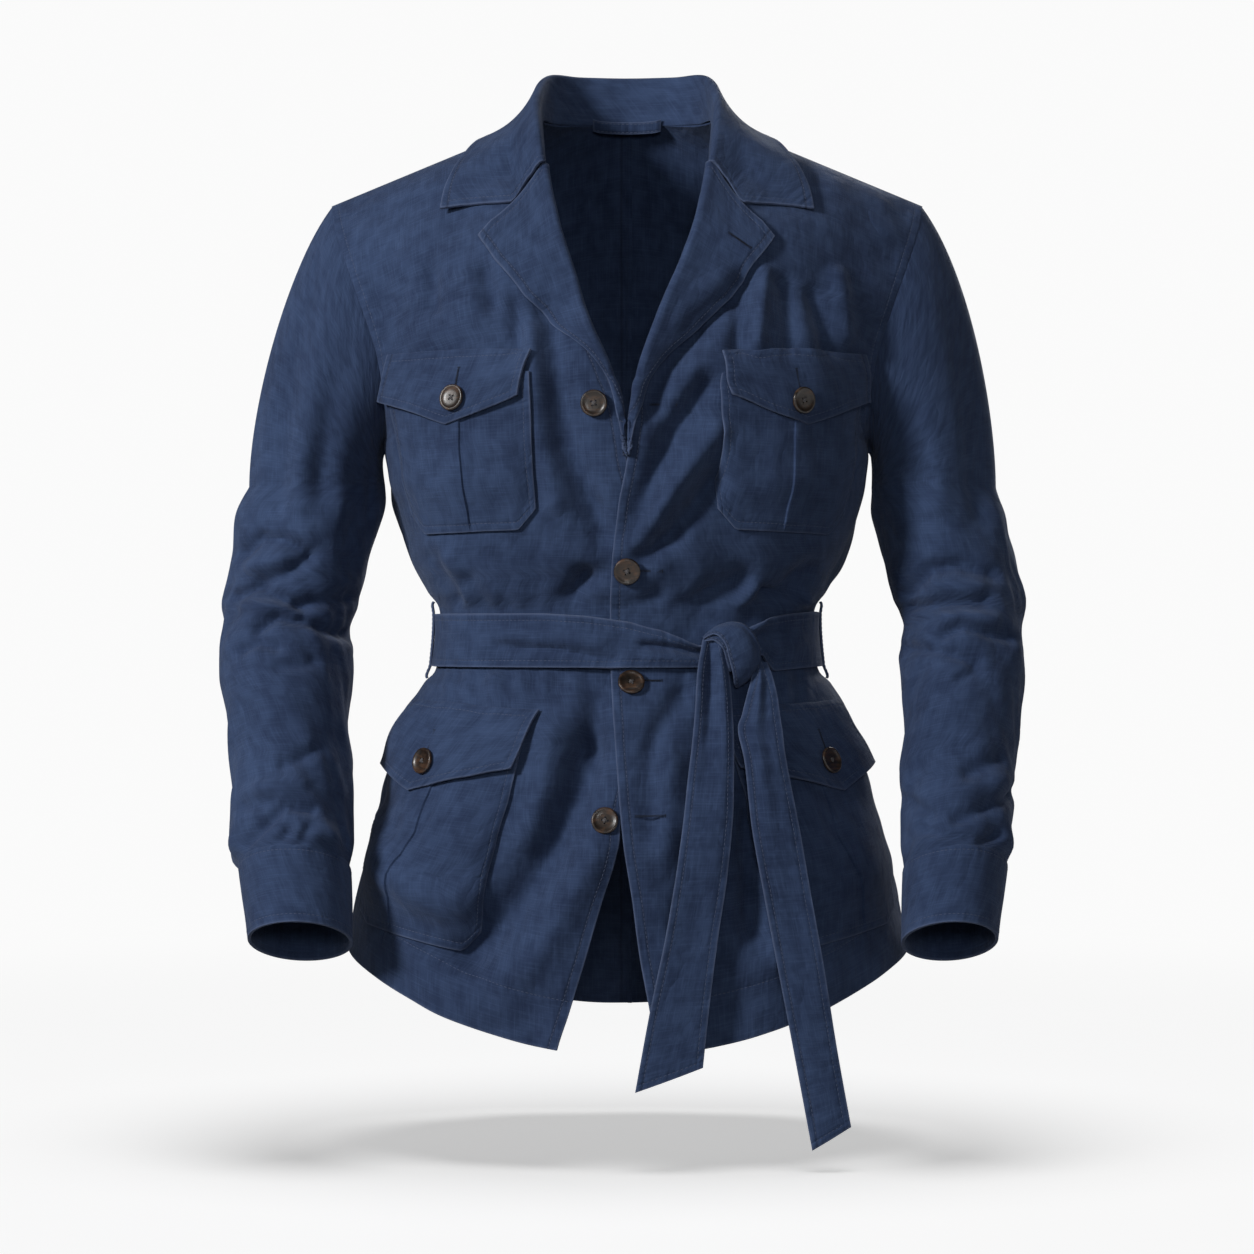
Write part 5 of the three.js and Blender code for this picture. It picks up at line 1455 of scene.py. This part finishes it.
threads = []
for corner in (1, -1):
    for strand in (-THREAD, THREAD):
        bpy.ops.object.select_all(action="DESELECT")
        bpy.ops.mesh.primitive_uv_sphere_add(segments=12, ring_count=10, radius=1)
        thread = bpy.context.object
        thread.scale = (1.5 * HOLE_OFFSET * MM, THREAD * MM, 1.3 * THREAD * MM)
        thread.rotation_euler = (0, 0, math.radians(45 * corner))
        across = (-strand * corner * 0.7, strand * 0.7)
        height = BUTTON_PROFILE[-1][1] + 0.1 + 0.25 * corner
        thread.location = (across[0] * MM, across[1] * MM, height * MM)
        threads.append(thread)
bpy.ops.mesh.primitive_cylinder_add(
    vertices=14, radius=SHANK_RADIUS * MM, depth=2 * MM, location=(0, 0, -0.3 * MM)
)
threads.append(bpy.context.object)
pick(*threads)
bpy.ops.object.join()
bpy.ops.object.transform_apply(location=True, rotation=True, scale=True)
bpy.ops.object.shade_smooth_by_angle(angle=math.radians(40))
threads[0].data.materials.append(button_thread)
pick(button, threads[0])
bpy.ops.object.join()


def sew_button(node, place, outward, turn):
    """A copy of the button, laid on the cloth with its face outward and turned by some degrees."""
    across = unit(np.array((1, 0, 0)) - outward * outward[0])
    up = np.cross(outward, across)
    c, s = math.cos(math.radians(turn)), math.sin(math.radians(turn))
    pick(button)
    bpy.ops.object.duplicate()
    piece = bpy.context.object
    piece.name = piece.data.name = f"{node}_horn"
    axes = np.stack((across * c + up * s, up * c - across * s, outward), axis=-1)
    mesh = piece.data
    own = np.empty(3 * len(mesh.vertices))
    mesh.vertices.foreach_get("co", own)
    placed = own.reshape(-1, 3) @ axes.T + place * MM
    mesh.vertices.foreach_set("co", placed.ravel())
    mesh.update()
    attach(piece, "root")
    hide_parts(node)


def flap_normal(side, kind):
    """The normal of a flap where its button stands, toward the front."""
    normal = normal_of(lambda u, w: patch_point(side, kind, u, w, DOUBLED), *kind["button"])
    return normal * -np.sign(normal[1])


for number, (side, x, z, turn, off) in enumerate(zip(*FRONT_BUTTONS.values()), start=1):
    t, v = place_at("front", side, x, z)
    outward = cloth_normal("front", side, t, v)
    place = cloth_point("front", side, t, v) + outward * (BUTTON_SHANK + off)
    sew_button(f"front_button_{number}", place, outward, turn)
for word, side in SIDES:
    for kind, name in ((CHEST_FLAP, "chest_button"), (LOW_FLAP, "low_button")):
        outward = flap_normal(side, kind)
        place = patch_point(side, kind, *kind["button"], DOUBLED) + outward * BUTTON_SHANK
        sew_button(f"{name}_{word}", place, outward, FLAP_BUTTON_TURN * side)
bpy.data.objects.remove(button)

# Stitching: rows of navy topstitching, each stitch sunk a little into the cloth, and worked buttonholes
# of darker thread, on the left front, the flaps and the left lapel. A near-black strand laid down each
# slit is painted shade in its opening.
STITCH_PITCH = 3.3
STITCH_LENGTH = 2.5
STITCH_WIDTH = 0.6
BUTTONHOLES = table(
    "x1 z1 x2 z2",
    (16.8, -230.5, 36.7, -230.5),
    (8, -352, 25.8, -352),
    (11, -434.6, 25.9, -434.6),
    (5.8, -532.7, 27.7, -532.7),
)
BUTTONHOLE = {"pitch": 0.75, "slit": 0.25, "stitch": 0.75, "bar": 1.7, "width": 0.55}
HOLE_LIFT = {"front": 0.3, "doubled": 0.2}
FLAP_HOLE = {"length": 18, "from": 0.1, "toward": 0.42}  # its place, as shares above the button
LAPEL_HOLE = ((76, -99.8), (93, -113.4))
bpy.ops.object.select_all(action="DESELECT")
bpy.ops.mesh.primitive_uv_sphere_add(segments=6, ring_count=4, radius=0.5)
stitch = bpy.context.object
stitch_corners = np.array([(v.co.z, v.co.x, v.co.y) for v in stitch.data.vertices])
stitch_faces = [list(face.vertices) for face in stitch.data.polygons]
bpy.data.objects.remove(stitch)


def lay_stitches(name, stitches, width, material):
    """One mesh of stitches, each given by its start, its end and the way out of the cloth."""
    starts, ends, outward = np.asarray(stitches, float).swapaxes(0, 1)
    length = np.linalg.norm(ends - starts, axis=-1, keepdims=True)
    along = (ends - starts) / length
    across = unit(np.cross(outward, along))
    up = np.cross(along, across)
    sizes = (length * along, width * across, 0.8 * width * up)
    corners = ((starts + ends) / 2)[:, None] + sum(
        stitch_corners[None, :, [i]] * sizes[i][:, None] for i in range(3)
    )
    count = len(stitch_corners)
    faces = [[count * i + corner for corner in face] for i in range(len(starts)) for face in stitch_faces]
    mesh = bpy.data.meshes.new(name)
    mesh.from_pydata((corners * MM).reshape(-1, 3).tolist(), [], faces)
    mesh.shade_smooth()
    mesh.materials.append(material)
    piece = bpy.data.objects.new(name, mesh)
    bpy.context.collection.objects.link(piece)
    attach(piece, "root")


rows_of_stitches = []
for path in seam_paths:
    run = np.append(0, np.cumsum(np.linalg.norm(np.diff(path[:, 0], axis=0), axis=-1)))
    first = np.arange(0, run[-1] - STITCH_LENGTH, STITCH_PITCH)
    start, end, way = (
        np.stack([np.interp(first + step, run, path[:, kind, i]) for i in range(3)], axis=-1)
        for kind, step in ((0, 0), (0, STITCH_LENGTH), (1, 0))
    )
    rows_of_stitches.append(np.stack((start, end, unit(way)), axis=1))
navy_thread = thread_material("navy_thread", (0.026, 0.038, 0.080, 1), (0.100, 0.130, 0.215, 1))
lay_stitches("topstitching", np.concatenate(rows_of_stitches), STITCH_WIDTH, navy_thread)

stitches = []


def work_buttonhole(first, last, outward):
    """Close stitches across both sides of a slit, a dark strand down it as painted shade, and a bar at its
    far end.
    """
    along = unit(last - first)
    across = np.cross(outward, along)
    for step in np.arange(0, np.linalg.norm(last - first), BUTTONHOLE["pitch"]):
        for way in (-across, across):
            start = first + along * step + way * BUTTONHOLE["slit"]
            stitches.append((start, start + way * BUTTONHOLE["stitch"], outward))
    bar = across * BUTTONHOLE["bar"]
    # The strand from first to last lies down the slit as painted shade in its opening.
    stitches.extend(((last - bar, last + bar, outward), (first, last, outward)))


for x1, z1, x2, z2 in zip(*BUTTONHOLES.values()):
    first, last = (over_cloth("front", 1, x, z, HOLE_LIFT["front"]) for x, z in ((x1, z1), (x2, z2)))
    work_buttonhole(first, last, cloth_normal("front", 1, *place_at("front", 1, (x1 + x2) / 2, z1)))
for word, side in SIDES:
    for kind in (CHEST_FLAP, LOW_FLAP):
        u, w = kind["button"]
        low, high = (
            patch_point(side, kind, u, w - FLAP_HOLE[key], DOUBLED + HOLE_LIFT["doubled"])
            for key in ("from", "toward")
        )
        work_buttonhole(low, low + unit(high - low) * FLAP_HOLE["length"], flap_normal(side, kind))
face, outward = lapel_face
nearest = [
    np.unravel_index(np.argmin((face[..., 0] - x) ** 2 + (face[..., 2] - z) ** 2), face.shape[:2])
    for x, z in LAPEL_HOLE
]
first, last = (face[spot] + HOLE_LIFT["doubled"] * outward[spot] for spot in nearest)
work_buttonhole(first, last, outward[nearest[0]])
# Dark buttonhole thread, also used for the strand of painted shade down each slit.
dark_thread_and_slit_shade = thread_material("dark_thread_and_slit_shade", (0.002, 0.003, 0.007, 1), (0.010, 0.015, 0.030, 1))
lay_stitches("buttonholes", stitches, BUTTONHOLE["width"], dark_thread_and_slit_shade)

size = {"cad": [list(map(float, corner)) for corner in cad_box]}
size["visual"] = [list(map(float, corner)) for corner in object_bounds()]
